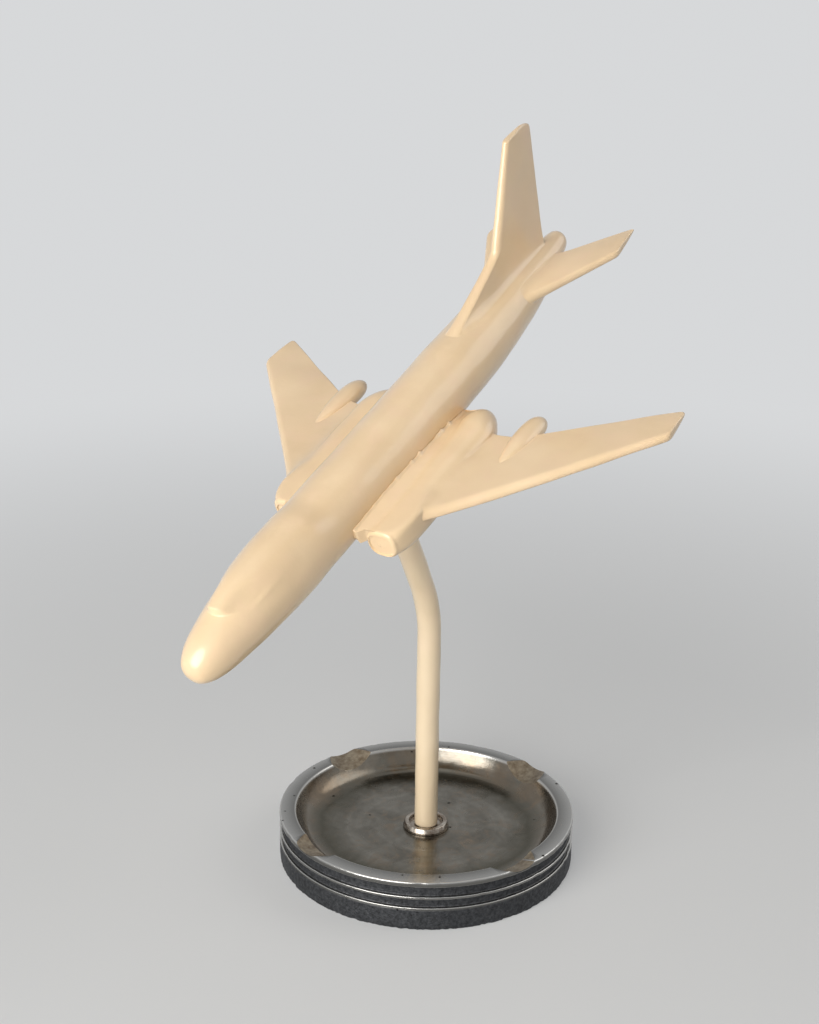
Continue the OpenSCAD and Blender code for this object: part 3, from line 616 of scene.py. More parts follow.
def nacelleShape(held):  # held is how far the intake is set back
    front = nacelle["ahead"] - held
    straight = nacelle["back"] - nacelle["domeLength"]
    lip, rim, deep = nacelle["lipRound"], nacelle["rimWide"], nacelle["recess"]

    def lipRing(depth, inset):  # ring of the intake, drawn in more at its top than below
        return nacelleRing(front - depth, front, held, -2 * inset, nacelle["lipLean"] * inset)

    rings = [lipRing(deep, rim + w) for w in (3.0, 2.0, 1.0, 0.3, 0.12)]
    rings += [lipRing(d, rim - w)
              for d, w in ((deep - 0.06, 0.02), (deep * 0.6, 0.04), (0.12, 0.07), (0.02, 0.14))]
    rings += [lipRing(lip * (1 - math.cos(a)), lip * (1 - math.sin(a)))
              for a in np.radians((0, 20, 40, 60, 75))]
    rings += [nacelleRing(x, x, held) for x in np.linspace(front - lip, -nacelle["flareBack"], 26)]
    rings += [nacelleRing(x, x, held) for x in np.linspace(-nacelle["flareBack"] - 0.9, -straight, 44)]
    rings += [nacelleRing(x, x, held)
              for x in -straight - nacelle["domeLength"] * np.sin(np.radians(np.arange(4, 88, 3.5)))]
    y, z, *_ = nacelleMeasures(front, held)
    endY, endZ, *_ = nacelleMeasures(-nacelle["back"], held)
    return loft(rings, (front - deep, y, z - nacelle["lipLean"] * rim), (-nacelle["back"], endY, endZ))


def aboveNacelle(points):  # rough distance of points from a nacelle's side
    x, y, z = np.moveaxis(points, -1, 0)
    a, b = nacelle["width"] / 2, nacelle["height"] / 2
    corner = np.where(z > -nacelle["low"], crestPower(x), nacelle["under"])
    across = np.clip((y - nacelle["out"]) / a, 0, None)
    up = np.abs(z + nacelle["low"]) / b
    return ((across ** corner + up ** corner) ** (1 / corner) - 1) * a


def mirrored(shape):
    points, faces = shape
    return points * (1, -1, 1), faces


def enamelPair(name, nodeName, shape, port, starboard, **settings):  # starboard is mirrored
    enamelPiece("port" + name, shape(port), "port_" + nodeName, **settings)
    enamelPiece("starboard" + name, mirrored(shape(starboard)), "starboard_" + nodeName, **settings)


enamelPair("Nacelle", "nacelle", nacelleShape, 0, nacelle["starboardBack"])
print("nacelles made")


# blades: wings, fin and tailplanes

bladeSteps = {
    "around": 144, "along": 60, "under": (0.6, 0.3, 0.12), "tipTurns": (15, 30, 45, 60, 75, 90),
    "near": (0, 0.0015, 0.005, 0.011, 0.02, 0.033, 0.05, 0.075, 0.11, 0.155, 0.21, 0.28, 0.37, 0.48,
             0.62, 0.8, 1),
    "roundRear": 0.5, "blunt": 0.75, "bluntPower": 2.05, "rearThin": 0.8, "halvings": 34,
    # for the fillet round a root: a middling section, and how the fillet grows and fades
    "plainChord": 30.0, "plainThick": 4.0, "flareAhead": 0.25, "flareGrow": 0.7, "flareNose": 0.25,
    "flareUnder": -0.3, "flareFall": 2.5,
}


def bladeSection(chord, thick):  # distances back and half thicknesses of the points round a section
    angle = turnSteps(bladeSteps["around"])
    share = (1 - np.cos(angle)) / 2
    ahead = np.clip(1 - share * chord / (thick * bladeSteps["blunt"]), 0, 1)
    half = (1 - ahead ** bladeSteps["bluntPower"]) ** (1 / bladeSteps["bluntPower"])
    rear = np.clip((share * chord - (chord - bladeSteps["roundRear"])) / bladeSteps["roundRear"], 0, 1)
    half = half * (1 - bladeSteps["rearThin"] * share ** 2) * np.sqrt(1 - rear ** 2)
    return share, half * np.where(angle <= math.pi, 1, -1) * thick / 2


def bladeNormals(ring, spanAxis):  # outward directions of a section, across the span
    along = np.roll(ring, -1, 0) - np.roll(ring, 1, 0)
    way = np.cross(along, spanAxis)
    way /= np.maximum(np.linalg.norm(way, axis=1, keepdims=True), 1e-9)
    if np.sum(way * (ring - ring.mean(0))) < 0:
        way = -way
    return way


def bladeShape(base, above, spanAxis, flare, low, high, top):
    # base(w) gives the section at w along the blade, and above(points) their height over what it
    # stands on; the root's rings follow that skin, and flare[0] is how far the sides stand out
    # there, flare[1] the length over which that fades and flare[2] its share on the lower side
    share, half = bladeSection(bladeSteps["plainChord"], bladeSteps["plainThick"])
    flareWay = bladeNormals(base(np.full(bladeSteps["around"], (low + high) / 3)), spanAxis)
    flareWay[:, 0] *= bladeSteps["flareAhead"]
    nose = bladeSteps["flareNose"]
    reach = flare[0] * np.clip(np.abs(half) * 2 / bladeSteps["plainThick"], 0, 1) ** bladeSteps["flareGrow"]
    reach = reach * blend(nose, 1, smoothStep(share / nose))
    reach = reach * np.where(flareWay[:, 2] < bladeSteps["flareUnder"], flare[2], 1)

    def flaredRing(w, distance):
        left = 1 - math.sqrt(min(1.0, max(0.0, distance / flare[1])))
        return base(w) + flareWay * (reach * left ** bladeSteps["flareFall"])[:, None]

    result = []
    distances = [-d for d in bladeSteps["under"]] + [d * flare[1] for d in bladeSteps["near"]]
    for distance in distances:
        lowest, highest = np.full(bladeSteps["around"], low), np.full(bladeSteps["around"], high)
        for _ in range(bladeSteps["halvings"]):
            middle = (lowest + highest) / 2
            over = above(flaredRing(middle, distance)) > distance
            highest = np.where(over, middle, highest)
            lowest = np.where(over, lowest, middle)
        result.append(flaredRing(highest, distance))
    for t in np.linspace(0, 1, bladeSteps["along"] + 1)[1:]:
        result.append(base(blend(highest, top, t)))
    return result


def tipInset(left, rounding):  # how far a rounded tip draws in, with this much of the blade left
    past = np.clip(1 - left / rounding, 0, 1)
    return rounding * (1 - np.sqrt(np.maximum(0, 1 - past ** 2)))


def tipInsets(blade, left):  # the same for a blade's front, rear and faces
    return [tipInset(left, blade[key]) for key in ("tipFront", "tipRear", "tipFace")]


def roundedTip(ring, blade, out):  # rings that close a blade's tip
    turns = np.radians(bladeSteps["tipTurns"])
    return [ring(out - blade["tipRear"] * (1 - math.sin(turn))) for turn in turns]


def settled(w):  # a place along the blade for each point of the section
    return np.broadcast_to(np.asarray(w, float), (bladeSteps["around"],))


wings = {
    "halfSpan": 77.7, "starboardTrim": 4.4, "back": 1.2, "sweep": 46.2, "rootChord": 41.6,
    "kinkChord": 34.0, "kinkOut": 9.0, "kinkRound": 3.0, "tipChord": 13.4, "tipSlant": 0.6,
    "rootThick": 5.2, "tipThick": 3.2, "low": 6.7, "rise": 0.8, "flare": (2.4, 9.0, 0.3),
    "thinUnder": 0.6, "thinOver": 9.0, "rootRise": 1.7, "riseOver": 9.0, "rootAhead": 1.0,
    "aheadOver": 3.0, "rootCorner": 0.38, "cornerOver": 2.2, "tipFront": 1.2, "tipRear": 2.2,
    "tipFace": 0.7,
}


def wingShape(trim):  # trim is how much shorter the wing is
    full = wings["halfSpan"] - nacelle["seat"]
    out = full - trim
    sweep, rise = math.tan(math.radians(wings["sweep"])), math.tan(math.radians(wings["rise"]))

    def fading(w, over):
        return np.exp(-np.clip(w, 0, None) / wings[over])

    def ring(w):
        w = settled(w)
        pastKink = (w - wings["kinkOut"]) / (full - wings["kinkOut"])
        inner = blend(wings["rootChord"], wings["kinkChord"], w / wings["kinkOut"])
        outer = blend(wings["kinkChord"], wings["tipChord"], pastKink)
        chord = softMax(inner, outer, wings["kinkRound"] * 0.3)
        thick = blend(wings["rootThick"], wings["tipThick"], w / full)
        front, rear, face = tipInsets(wings, out - w)
        front = front - wings["rootAhead"] * fading(w, "aheadOver")
        share, half = bladeSection(chord, thick)
        back = front + share * (chord - front - rear)
        nearFront = np.exp(-back / wings["thinOver"])
        # the lower face rises at the front, and most where it meets the nacelle
        under = wings["thinUnder"] * np.clip(1 - w / out, 0, 1)
        under = under + wings["rootCorner"] * fading(w, "cornerOver")
        half = half * (1 - 2 * face / thick) * np.where(half < 0, 1 - under * nearFront, 1)
        o = w - wings["tipSlant"] * share * smoothStep(w / out)
        lift = wings["rootRise"] * fading(w, "riseOver") * nearFront
        return np.stack([-wings["back"] - w * sweep - back, nacelle["seat"] + o,
                         -wings["low"] + o * rise + half + lift], 1)

    start = out - wings["tipRear"]
    rings = bladeShape(ring, aboveNacelle, (0, 1, 0), wings["flare"], -6.0, 16.0, start)
    return loft(rings + roundedTip(ring, wings, out))


enamelPair("Wing", "wing", wingShape, 0, wings["starboardTrim"], sharpFrom=50)
print("wings made")


# fin and tailplanes

fin = {
    "top": 51.4, "kink": 21.4, "back": 94.5, "sweep": 32.0, "trail": 8.6, "foot": 122.8, "low": 0.9,
    "filletLength": 35.0, "thick": 4.0, "tipThick": 2.6, "flare": (3.2, 10.0, 1.0), "cap": 4.0,
    "capBack": 5.2, "capPower": 3, "capSteps": 13, "capEdge": 0.6, "capThin": 1.6, "kinkRound": 2.0,
}


def finFront(z):
    swept = -fin["back"] - (z - fin["kink"]) * math.tan(math.radians(fin["sweep"]))
    t = np.clip((fin["kink"] - z) / (fin["kink"] - fin["low"] * fuselage["radius"]), -1, 1.2)
    low = -fin["back"] + fin["filletLength"] * (0.75 * t + 0.25 * t * np.abs(t))
    return softMax(swept, low, fin["kinkRound"])


def finRing(z, frontCut=0.0, rearCut=0.0, thin=0.0):
    z = settled(z)
    front = finFront(z) - frontCut
    rear = -fin["foot"] - (z - fuselage["radius"]) * math.tan(math.radians(fin["trail"])) + rearCut
    low = fin["low"] * fuselage["radius"]
    thick = blend(fin["thick"], fin["tipThick"], np.clip(z - low, 0, None) / (fin["top"] - low))
    share, half = bladeSection(front - rear, thick)
    return np.stack([front - share * (front - rear), -half * (1 - thin), z], 1)


def finShape():
    rings = bladeShape(finRing, aboveSkin, (0, 0, 1), fin["flare"], 2.0, 34.0, fin["top"] - fin["cap"])
    for t in np.sin(np.radians(np.linspace(0, 90, fin["capSteps"])))[1:]:
        left = (1 - t) * fin["cap"]
        near = tipInset(left, fin["capEdge"])
        rings.append(finRing(fin["top"] - left, near, fin["capBack"] * t ** fin["capPower"],
                             fin["capThin"] * near / fin["tipThick"]))
    return loft(rings)


enamelPiece("fin", finShape(), "fin", 50)

tailplanes = {
    "out": 25.6, "back": 78.6, "sweep": 61.6, "root": 37.8, "tip": 16.0, "slant": 1.4, "up": 4.0,
    "thick": 4.0, "tipThick": 2.6, "flare": (2.4, 8.0, 0.8), "tipFront": 1.0, "tipRear": 1.4,
    "tipFace": 0.6, "joined": 0.06, "sharpFrom": 75,
}


def tailplaneRing(w):
    w = settled(w)
    out = tailplanes["out"]
    chord = blend(tailplanes["root"], tailplanes["tip"], w / out)
    thick = blend(tailplanes["thick"], tailplanes["tipThick"], w / out)
    front, rear, face = tipInsets(tailplanes, out - w)
    share, half = bladeSection(chord, thick)
    slant = tailplanes["slant"] * share * smoothStep(w / out)
    sweep = math.tan(math.radians(tailplanes["sweep"]))
    return np.stack([-tailplanes["back"] - w * sweep - front - share * (chord - front - rear),
                     w - slant, tailplanes["up"] + half * (1 - 2 * face / thick)], 1)


def tailplaneShape():
    start = tailplanes["out"] - tailplanes["tipRear"]
    rings = bladeShape(tailplaneRing, aboveSkin, (0, 1, 0), tailplanes["flare"], 0.0, 20.0, start)
    return loft(rings + roundedTip(tailplaneRing, tailplanes, tailplanes["out"]))


def joinClose(mesh):  # joins points that lie too close together to shade cleanly
    reach = tailplanes["joined"] * mm
    edited(mesh, lambda body: bmesh.ops.remove_doubles(body, verts=body.verts, dist=reach))
    mesh.set_sharp_from_angle(angle=math.radians(tailplanes["sharpFrom"]))
    return mesh


enamelPiece("portTailplane", tailplaneShape(), "port_tailplane", finish=joinClose)
enamelPiece("starboardTailplane", mirrored(tailplaneShape()), "starboard_tailplane", finish=joinClose)
print("fin and tailplanes made")


# gear pods

pod = {
    "out": 34.6, "back": 29.5, "length": 26.5, "radius": 3.9, "flat": 0.8, "low": 5.2, "fall": 6.5,
    "around": 96, "starboardAhead": 1.7,
    "outline": [(0, 0), (0.03, 0.16), (0.12, 0.42), (0.3, 0.74), (0.5, 0.94), (0.66, 1), (0.8, 0.94),
                (0.91, 0.74), (0.975, 0.42), (1, 0)],
}


def podShape(longer):  # longer is how far the pod reaches further ahead
    share = roundOutline(pod["outline"])
    length = pod["length"] + longer
    steps = 0.5 * (1 - np.cos(np.arange(0.06, math.pi - 0.03, 0.05)))
    rings = [roundRing(-length * t, 0, pod["radius"] * float(share(t)), pod["around"])
             * (1, 1, pod["flat"]) for t in steps]
    points, faces = loft(rings, (0, 0, 0), (-length, 0, 0))
    place = (Matrix.Translation((-pod["back"] + longer, pod["out"], -pod["low"]))
             @ Matrix.Rotation(math.radians(-pod["fall"]), 4, "Y"))
    return carried(points, place), faces


enamelPair("GearPod", "gear_pod", podShape, 0, pod["starboardAhead"])
print("gear pods made")


# strips that fill the joints between fuselage and nacelles

strip = {
    "tabAhead": 2.0, "tabTip": 1.0, "tabLow": 4.6, "end": 49.6, "ridge": 0.45,
    "ridgeWide": 0.5, "ridgeOut": 0.22, "steps": 260, "foot": 5.52, "tabTop": 3.0, "runOut": 0.6,
    "lumps": 46, "starboardGroove": 0.35, "grooveOut": 1.5, "grooveWide": 0.3, "tipPinch": 0.25,
    "tipLength": 0.4, "tabRun": 0.5, "tabFoot": 0.75, "seatIn": 0.06, "sunk": 0.08, "deep": 2.0,
    "sag": 0.6, "swell": 0.25, "beadWiden": 0.4,
    # beads on the port joint: share of the length, height and half length
    "beads": [(0.375, 0.52, 0.8), (0.505, 0.60, 0.9), (0.575, 0.68, 0.9), (0.735, 0.60, 1.0),
              (0.77, 0.83, 1.2), (0.84, 0.75, 0.9)],
    # height of the joint along the fuselage, by the share of the length from the tab
    "joint": [(0, -0.7), (0.2, -0.4), (0.42, -0.4), (0.56, -1.1), (0.7, -1.9), (0.85, -2.9), (1, -5.4)],
}
jointHeight = splineThrough(strip["joint"])


def stripShape(side):  # side is 1 for port, where the ridge is lumpy, and -1 for starboard
    front = nacelle["ahead"] + strip["tabAhead"]
    length = front + strip["end"]
    lumps = splineThrough(list(zip(np.linspace(0, 1, strip["lumps"]),
                                   np.random.default_rng(21).uniform(0.7, 1.25, strip["lumps"]))))
    rings = []
    for t in np.linspace(0, 1, strip["steps"]):
        x = front - length * t
        joint = float(jointHeight(t))
        if side > 0:
            bead = sum(high * hump((t - at) * length, half) for at, high, half in strip["beads"])
            ridge = strip["ridge"] * float(lumps(t)) + bead
            groove = 0.0
        else:
            bead = 0.0
            ridge = strip["ridge"]
            groove = strip["starboardGroove"]
        skin = math.sqrt(fuselage["radius"] ** 2 - joint ** 2)
        centre, _, width, *_ = nacelleMeasures(min(x, nacelle["ahead"]))
        tab = float(smoothStep((x - nacelle["ahead"]) / strip["tabRun"] + 1))
        web = np.interp(x, (nacelle["ahead"], front), (strip["tabTop"], strip["tabTip"]))
        outer = blend(centre - strip["seatIn"] * width, skin + web, tab)
        foot = blend(outer, skin + strip["tabFoot"] * web, tab)
        onNacelle = min(x, nacelle["ahead"] - 0.7)
        seat = blend(nacelleTop(onNacelle, outer) - strip["sunk"], joint - 0.5, tab)
        wide = strip["ridgeWide"] * (1 + strip["beadWiden"] * bead)
        section = [(skin - 1.6, joint + 0.1)]
        for u in np.concatenate([np.linspace(0, 0.34, 18), np.linspace(0.38, 1, 14)]):
            y = skin - 0.35 + (outer - skin + 0.35) * u
            across = y - skin
            z = blend(joint, seat - strip["sag"] * (1 - tab), float(smoothStep(u)))
            z += strip["swell"] * (1 - u) * u
            if tab < 0.5:
                z = float(softMax(z, nacelleTop(onNacelle, y) - 0.05, strip["runOut"]))
            z += ridge * hump(across - strip["ridgeOut"], wide)
            z -= groove * hump(across - strip["grooveOut"], strip["grooveWide"])
            section.append((y, z))
        deep = blend(strip["deep"], strip["tabLow"], tab)
        section += [(outer - 0.1, seat - 0.4), (foot - 0.5 * (1 - tab), seat - deep),
                    (skin + 0.6, 0.8 * tab - strip["foot"]), (skin - 1.4, 0.8 * tab - strip["foot"])]
        pinch = 1 - strip["tipPinch"] * max(0.0, 1 - t * length / strip["tipLength"]) ** 2
        middle = np.mean(section, 0)
        section = middle + (np.array(section) - middle) * pinch
        rings.append(np.column_stack([np.full(len(section), x), section]))
    return loft(rings)


enamelPair("RootStrip", "root_strip", stripShape, 1, -1, sharpFrom=60)
print("root strips made")


# bent rod

rod = {"radius": 4.0, "foot": 3.0, "footEnd": 1.1, "start": 10.3, "stud": 2.5, "studLength": 7.0,
       "inside": 3.5, "edge": 0.5, "around": 72, "flare": 1.0}


def rodShape():
    half = math.radians(stance["dive"]) / 2
    reach = stance["bendRadius"] * math.tan(half)
    bendStart = stance["bendHeight"] - reach
    bendLength = stance["bendRadius"] * 2 * half
    straight = stance["rodTop"] - reach - fuselage["radius"] + rod["inside"]
    end = bendStart + bendLength + straight

    def placeAt(s):  # a point of the rod's middle line and the direction there
        if s <= bendStart:
            return np.array([0, 0, s]), 0.0
        turn = min((s - bendStart) / stance["bendRadius"], 2 * half)
        centre = np.array([stance["bendRadius"] * (1 - math.cos(turn)), 0,
                           bendStart + stance["bendRadius"] * math.sin(turn)])
        rest = max(0.0, s - bendStart - bendLength)
        return centre + rest * np.array([math.sin(turn), 0, math.cos(turn)]), turn

    # distances along the rod, each with its radius
    levels = [(rod["footEnd"], rod["foot"] - 0.3), (rod["footEnd"] + 0.3, rod["foot"]),
              (rod["start"] - 0.01, rod["foot"]), (rod["start"], rod["radius"] - rod["edge"])]
    levels += [(rod["start"] + rod["edge"] * (1 - math.cos(a)),
                rod["radius"] - rod["edge"] * (1 - math.sin(a))) for a in np.radians((30, 60, 90))]
    levels += [(s, rod["radius"]) for s in np.linspace(rod["start"] + 1, end - rod["inside"] - 2, 150)]
    levels += [(end - rod["inside"] - d, rod["radius"] + float(roundInto(d, rod["flare"])))
               for d in (1.0, 0.7, 0.4, 0.2, 0.05, -0.6)]
    levels += [(end, rod["radius"]), (end + 0.01, rod["stud"]), (end + rod["studLength"], rod["stud"])]
    angle = turnSteps(rod["around"])
    rings = []
    for s, radius in levels:
        centre, turn = placeAt(s)
        side = np.array([math.cos(turn), 0, -math.sin(turn)])
        across = np.outer(np.cos(angle), side) + np.outer(np.sin(angle), (0, 1, 0))
        rings.append(centre + radius * across)
    return loft(rings)


enamelPiece("standRod", rodShape(), "stand_rod", place=Matrix.Identity(4), coat=rodEnamel)
print("rod made")


# piston tray

tray = {
    "radius": trayHigh.x, "height": trayHigh.z, "rimWidth": 5.5, "slopeWidth": 6.5, "floor": 9.5,
    "skirtWall": 8.0, "hollow": 6.0, "hole": 6.04, "topLand": 1.8, "upperGroove": 3.4,
    "thinLand": 0.9, "lowerGroove": 3.0, "grooveDepth": 1.2, "rests": 4, "restWidth": 10.4,
    "restDepth": 1.1, "restFall": 22.0, "restTurn": -16.0, "wallTurn": 60, "segments": 360,
    "restLong": 24.0, "restPast": 8.0, "restEase": 0.22, "easeFrom": 34, "restNear": 0.06,
    "restReach": 11.0, "sharpFrom": 42, "skirtRows": (1.2, 2.2, 3.4, 4.6, 5.8, 6.8),
    "floorRows": (36, 30, 24, 18, 12),
}
trayWear = {
    "raggedness": 0.22, "ragHeight": 1.9, "dent": 0.22, "bump": 0.02, "castBelow": 0.5,
    # width of the bright line at each edge, from the rim down: painted highlight, partly real wear
    "highlightLines": (0.5, 0.25, 0.25, 0.25, 0.3), "innerHighlight": 0.5, "innerShare": 0.8,
}


def trayProfile():
    outer, height, floor = tray["radius"], tray["height"], tray["floor"]
    dish = outer - tray["rimWidth"] - tray["slopeWidth"]
    deep = outer - tray["grooveDepth"]
    upper = height - tray["topLand"]
    lower = upper - tray["upperGroove"] - tray["thinLand"]
    turn = math.radians(tray["wallTurn"])
    corners = [
        (tray["hole"], tray["hollow"], 0.3), (outer - tray["skirtWall"], tray["hollow"], 1.6),
        (outer - tray["skirtWall"], 0, 0.5), (outer, 0, 0.6),
        *((outer, z, 0) for z in tray["skirtRows"]), (outer, lower - tray["lowerGroove"] - 0.45, 0),
        (outer, lower - tray["lowerGroove"], 0.3),
        (deep, lower - tray["lowerGroove"], 0.4), (deep, lower, 0.4), (outer, lower, 0.28),
        (outer, lower + tray["thinLand"], 0.28), (deep, lower + tray["thinLand"], 0.4),
        (deep, upper, 0.4), (outer, upper, 0.35), (outer, height, 0.55),
        (outer - tray["rimWidth"], height, 0.9)]
    for a in np.linspace(turn, 0, 12)[1:-1]:
        corners.append((dish + tray["slopeWidth"] * math.sin(a) / math.sin(turn),
                        floor + (height - floor) * (1 - math.cos(a)) / (1 - math.cos(turn)), 0))
    corners += [(r, floor, 0) for r in tray["floorRows"]]
    corners.append((tray["hole"], floor, 0.2))
    return roundedCorners(corners)


def restPlaces():  # places of the tilted cylinders that roll the four rests into the rim
    radius = ((tray["restWidth"] / 2) ** 2 + tray["restDepth"] ** 2) / (2 * tray["restDepth"])
    places = [Matrix.Rotation(math.radians(tray["restTurn"] + 360 * i / tray["rests"]), 4, "Z")
              @ Matrix.Translation((tray["radius"], 0, tray["height"] - tray["restDepth"]))
              @ Matrix.Rotation(math.radians(-90 - tray["restFall"]), 4, "Y")
              @ Matrix.Translation((radius, 0, 0)) for i in range(tray["rests"])]
    return radius, places


def cutRests(mesh):  # cuts the rests and eases their edges
    radius, places = restPlaces()
    along = Matrix.Translation((0, 0, tray["restLong"] / 2 - tray["restPast"]))

    def cylinders(body):
        for place in places:
            bmesh.ops.create_cone(body, cap_ends=True, segments=160, radius1=radius * mm,
                                  radius2=radius * mm, depth=tray["restLong"] * mm,
                                  matrix=Matrix.Scale(mm, 4) @ place @ along @ Matrix.Scale(1 / mm, 4))

    cutter = newObject("restCutter", edited(bpy.data.meshes.new("restCutter"), cylinders))
    blank = newObject("trayBlank", mesh)
    cut = blank.modifiers.new("cut", "BOOLEAN")
    cut.operation, cut.solver, cut.object = "DIFFERENCE", "EXACT", cutter
    ease = blank.modifiers.new("ease", "BEVEL")
    ease.width, ease.segments, ease.limit_method = tray["restEase"] * mm, 3, "ANGLE"
    ease.angle_limit = math.radians(tray["easeFrom"])
    evaluated = blank.evaluated_get(bpy.context.evaluated_depsgraph_get())
    result = bpy.data.meshes.new_from_object(evaluated)
    for item in (cutter, blank):
        bpy.data.objects.remove(item)
    return result


def markRests(mesh):  # faces on the rests' cylinders take the second finish
    radius, places = restPlaces()
    for cylinder in places:
        place = carried(pointsOf(mesh) / mm, cylinder.inverted())
        near = np.abs(np.hypot(place[:, 0], place[:, 1]) - radius) < tray["restNear"]
        near &= (place[:, 2] > -tray["restPast"]) & (place[:, 2] < tray["restReach"])
        for face in mesh.polygons:
            if all(near[v] for v in face.vertices):
                face.material_index = 1


def wearTray(mesh):  # ragged foot, uneven faces, and the masks of the bright edges, painted highlight partly from real wear, and of cast skin
    place = pointsOf(mesh) / mm
    radius = np.hypot(place[:, 0], place[:, 1])
    height = place[:, 2]
    outside = smoothStep((radius - (tray["radius"] - 2.4)) / 1.5)
    rough = np.abs(ripple(place, 2.6, 31)) * 0.5 + np.abs(ripple(place, 1.3, 32)) * 0.4
    low = smoothStep((trayWear["ragHeight"] - height) / trayWear["ragHeight"])
    foot = outside * low * trayWear["raggedness"] * rough
    dents = (np.clip(ripple(place, 5.0, 33) - 1.1, 0, 1) * trayWear["dent"]
             + trayWear["bump"] * np.abs(ripple(place, 2.0, 34)))
    inward = (foot + dents * outside * (height > 2.5)) / np.maximum(radius, 1e-6)
    place[:, :2] *= 1 - inward[:, None]
    place[:, 2] += foot * 0.6
    mesh.vertices.foreach_set("co", (place * mm).ravel())
    mesh.update()
    upper = tray["height"] - tray["topLand"]
    thin = upper - tray["upperGroove"]
    lower = thin - tray["thinLand"]
    skirt = lower - tray["lowerGroove"]
    # bright lines along the edges: painted highlight, partly real wear
    edge = np.zeros(len(place))
    for z, wide in zip((tray["height"], upper, thin, lower, skirt), trayWear["highlightLines"]):
        edge = np.maximum(edge, hump(height - z, wide))
    edge *= smoothStep((radius - (tray["radius"] - 0.9)) / 0.6)
    rimInner = tray["radius"] - tray["rimWidth"]
    line = trayWear["innerShare"] * hump(radius - rimInner, trayWear["innerHighlight"])
    edge = np.maximum(edge, line * (height > tray["height"] - 0.9))
    cast = (smoothStep((skirt - trayWear["castBelow"] - height) / 0.3)
            * (radius > tray["radius"] - tray["skirtWall"] - 2))
    cast = np.maximum(cast, smoothStep((tray["radius"] - 0.7 - radius) / 0.5) * (height < upper + 0.2)
                      * (radius > tray["radius"] - 3))
    cast = np.maximum(cast, (height < tray["hollow"] + 0.4) * (radius < tray["radius"] - 4))
    for name, values in (("wearAndHighlight", edge), ("cast", cast)):
        mesh.attributes.new(name, "FLOAT", "POINT").data.foreach_set("value", values.astype(np.float32))
    return mesh


def pistonTray():
    points, faces = revolve(trayProfile(), tray["segments"])
    mesh = shadeSmooth(wearTray(cutRests(meshOf("pistonTray", points, faces))), tray["sharpFrom"])
    addPiece("pistonTray", mesh, pistonSteel, "tray", "worn_steel", "piston_tray")
    mesh.materials.append(restSteel)
    markRests(mesh)


pistonTray()
print("tray made")


# collar round the rod's foot

collar = {"top": 11.7, "low": 7.8, "shoulder": 7.15, "mouth": 5.7, "mouthFloor": 10.2, "hole": 3.06,
          "barrel": 6.0, "segments": 144, "uneven": 0.06}


def collarShape():
    floor, hollow = tray["floor"], tray["hollow"]
    profile = roundedCorners([
        (collar["hole"], hollow, 0), (collar["barrel"], hollow, 0), (collar["barrel"], floor, 0),
        (collar["low"], floor, 0.15), (collar["low"], floor + 0.7, 0.4),
        (collar["shoulder"], collar["top"] - 0.1, 0.35), (collar["mouth"] + 0.15, collar["top"], 0.3),
        (collar["mouth"], collar["mouthFloor"], 0.3), (collar["hole"], collar["mouthFloor"], 0.1)])
    points, faces = revolve(profile, collar["segments"])
    radius = np.hypot(points[:, 0], points[:, 1])
    lumps = ripple(points, 3.4, 41) * 0.6 + ripple(points, 1.6, 42) * 0.4
    outer = (points[:, 2] > floor + 0.2) * smoothStep((radius - collar["mouth"] + 0.2) / 0.5)
    inward = outer * collar["uneven"] * (np.abs(lumps) + 0.05)
    points[:, :2] *= 1 - (inward / radius)[:, None]
    points[:, 2] -= inward * 0.7
    return points, faces


collarPoints, collarFaces = collarShape()
addPiece("rodCollar", meshOf("rodCollar", collarPoints, collarFaces), collarSteel, "tray",
         "bright_steel", "rod_collar")


# washer and nut under the tray

fastening = {"washerTop": 5.9, "washerBottom": 4.7, "washerRadius": 8.0, "washerHole": 3.2,
             "nutBottom": 1.5, "nutFlats": 10.0, "nutHole": 3.04, "nutEdge": 0.45,
             "nutSlope": 1.75, "nutEase": 0.25, "around": 144}


def nutShape():
    angle = turnSteps(fastening["around"])
    wrapped = (angle + math.pi / 6) % (math.pi / 3) - math.pi / 6
    hexagon = fastening["nutFlats"] / 2 / np.cos(wrapped)
    low, high = fastening["nutBottom"], fastening["washerBottom"]
    bevel, ease, tall = fastening["nutEdge"], fastening["nutEase"], high - low
    levels = np.concatenate([np.linspace(0, bevel, 6), np.linspace(bevel + 0.4, tall - 0.4 - bevel, 6),
                             tall - np.linspace(bevel, 0, 6)])
    hole = np.full(len(angle), fastening["nutHole"])
    outline = [(hole + ease, low), (hole, low + ease), (hole, high - ease), (hole + ease, high)]
    for level in levels[::-1]:  # the corners of the hexagon are turned off in a cone at both ends
        cone = fastening["nutFlats"] / 2 + min(level, tall - level) * fastening["nutSlope"]
        outline.append((np.minimum(hexagon, cone), low + level))
    rings = np.array([np.stack([radius * np.cos(angle), radius * np.sin(angle),
                                np.full(len(angle), z)], 1) for radius, z in outline])
    count, around = rings.shape[:2]
    faces = []
    for i in range(count):
        a, b = i * around, (i + 1) % count * around
        faces += [(a + j, a + (j + 1) % around, b + (j + 1) % around, b + j) for j in range(around)]
    return rings.reshape(-1, 3), faces


washerProfile = roundedCorners([
    (fastening["washerHole"], fastening["washerBottom"], 0.1),
    (fastening["washerRadius"], fastening["washerBottom"], 0.3),
    (fastening["washerRadius"], fastening["washerTop"], 0.1),
    (fastening["washerHole"], fastening["washerTop"], 0.1)])
addPiece("footWasher", meshOf("footWasher", *revolve(washerProfile, 96)), brightSteel, "airliner",
         "bright_steel", "foot_washer")
addPiece("footNut", meshOf("footNut", *nutShape(), 25), brightSteel, "airliner", "bright_steel",
         "foot_nut")
print("collar, washer and nut made")


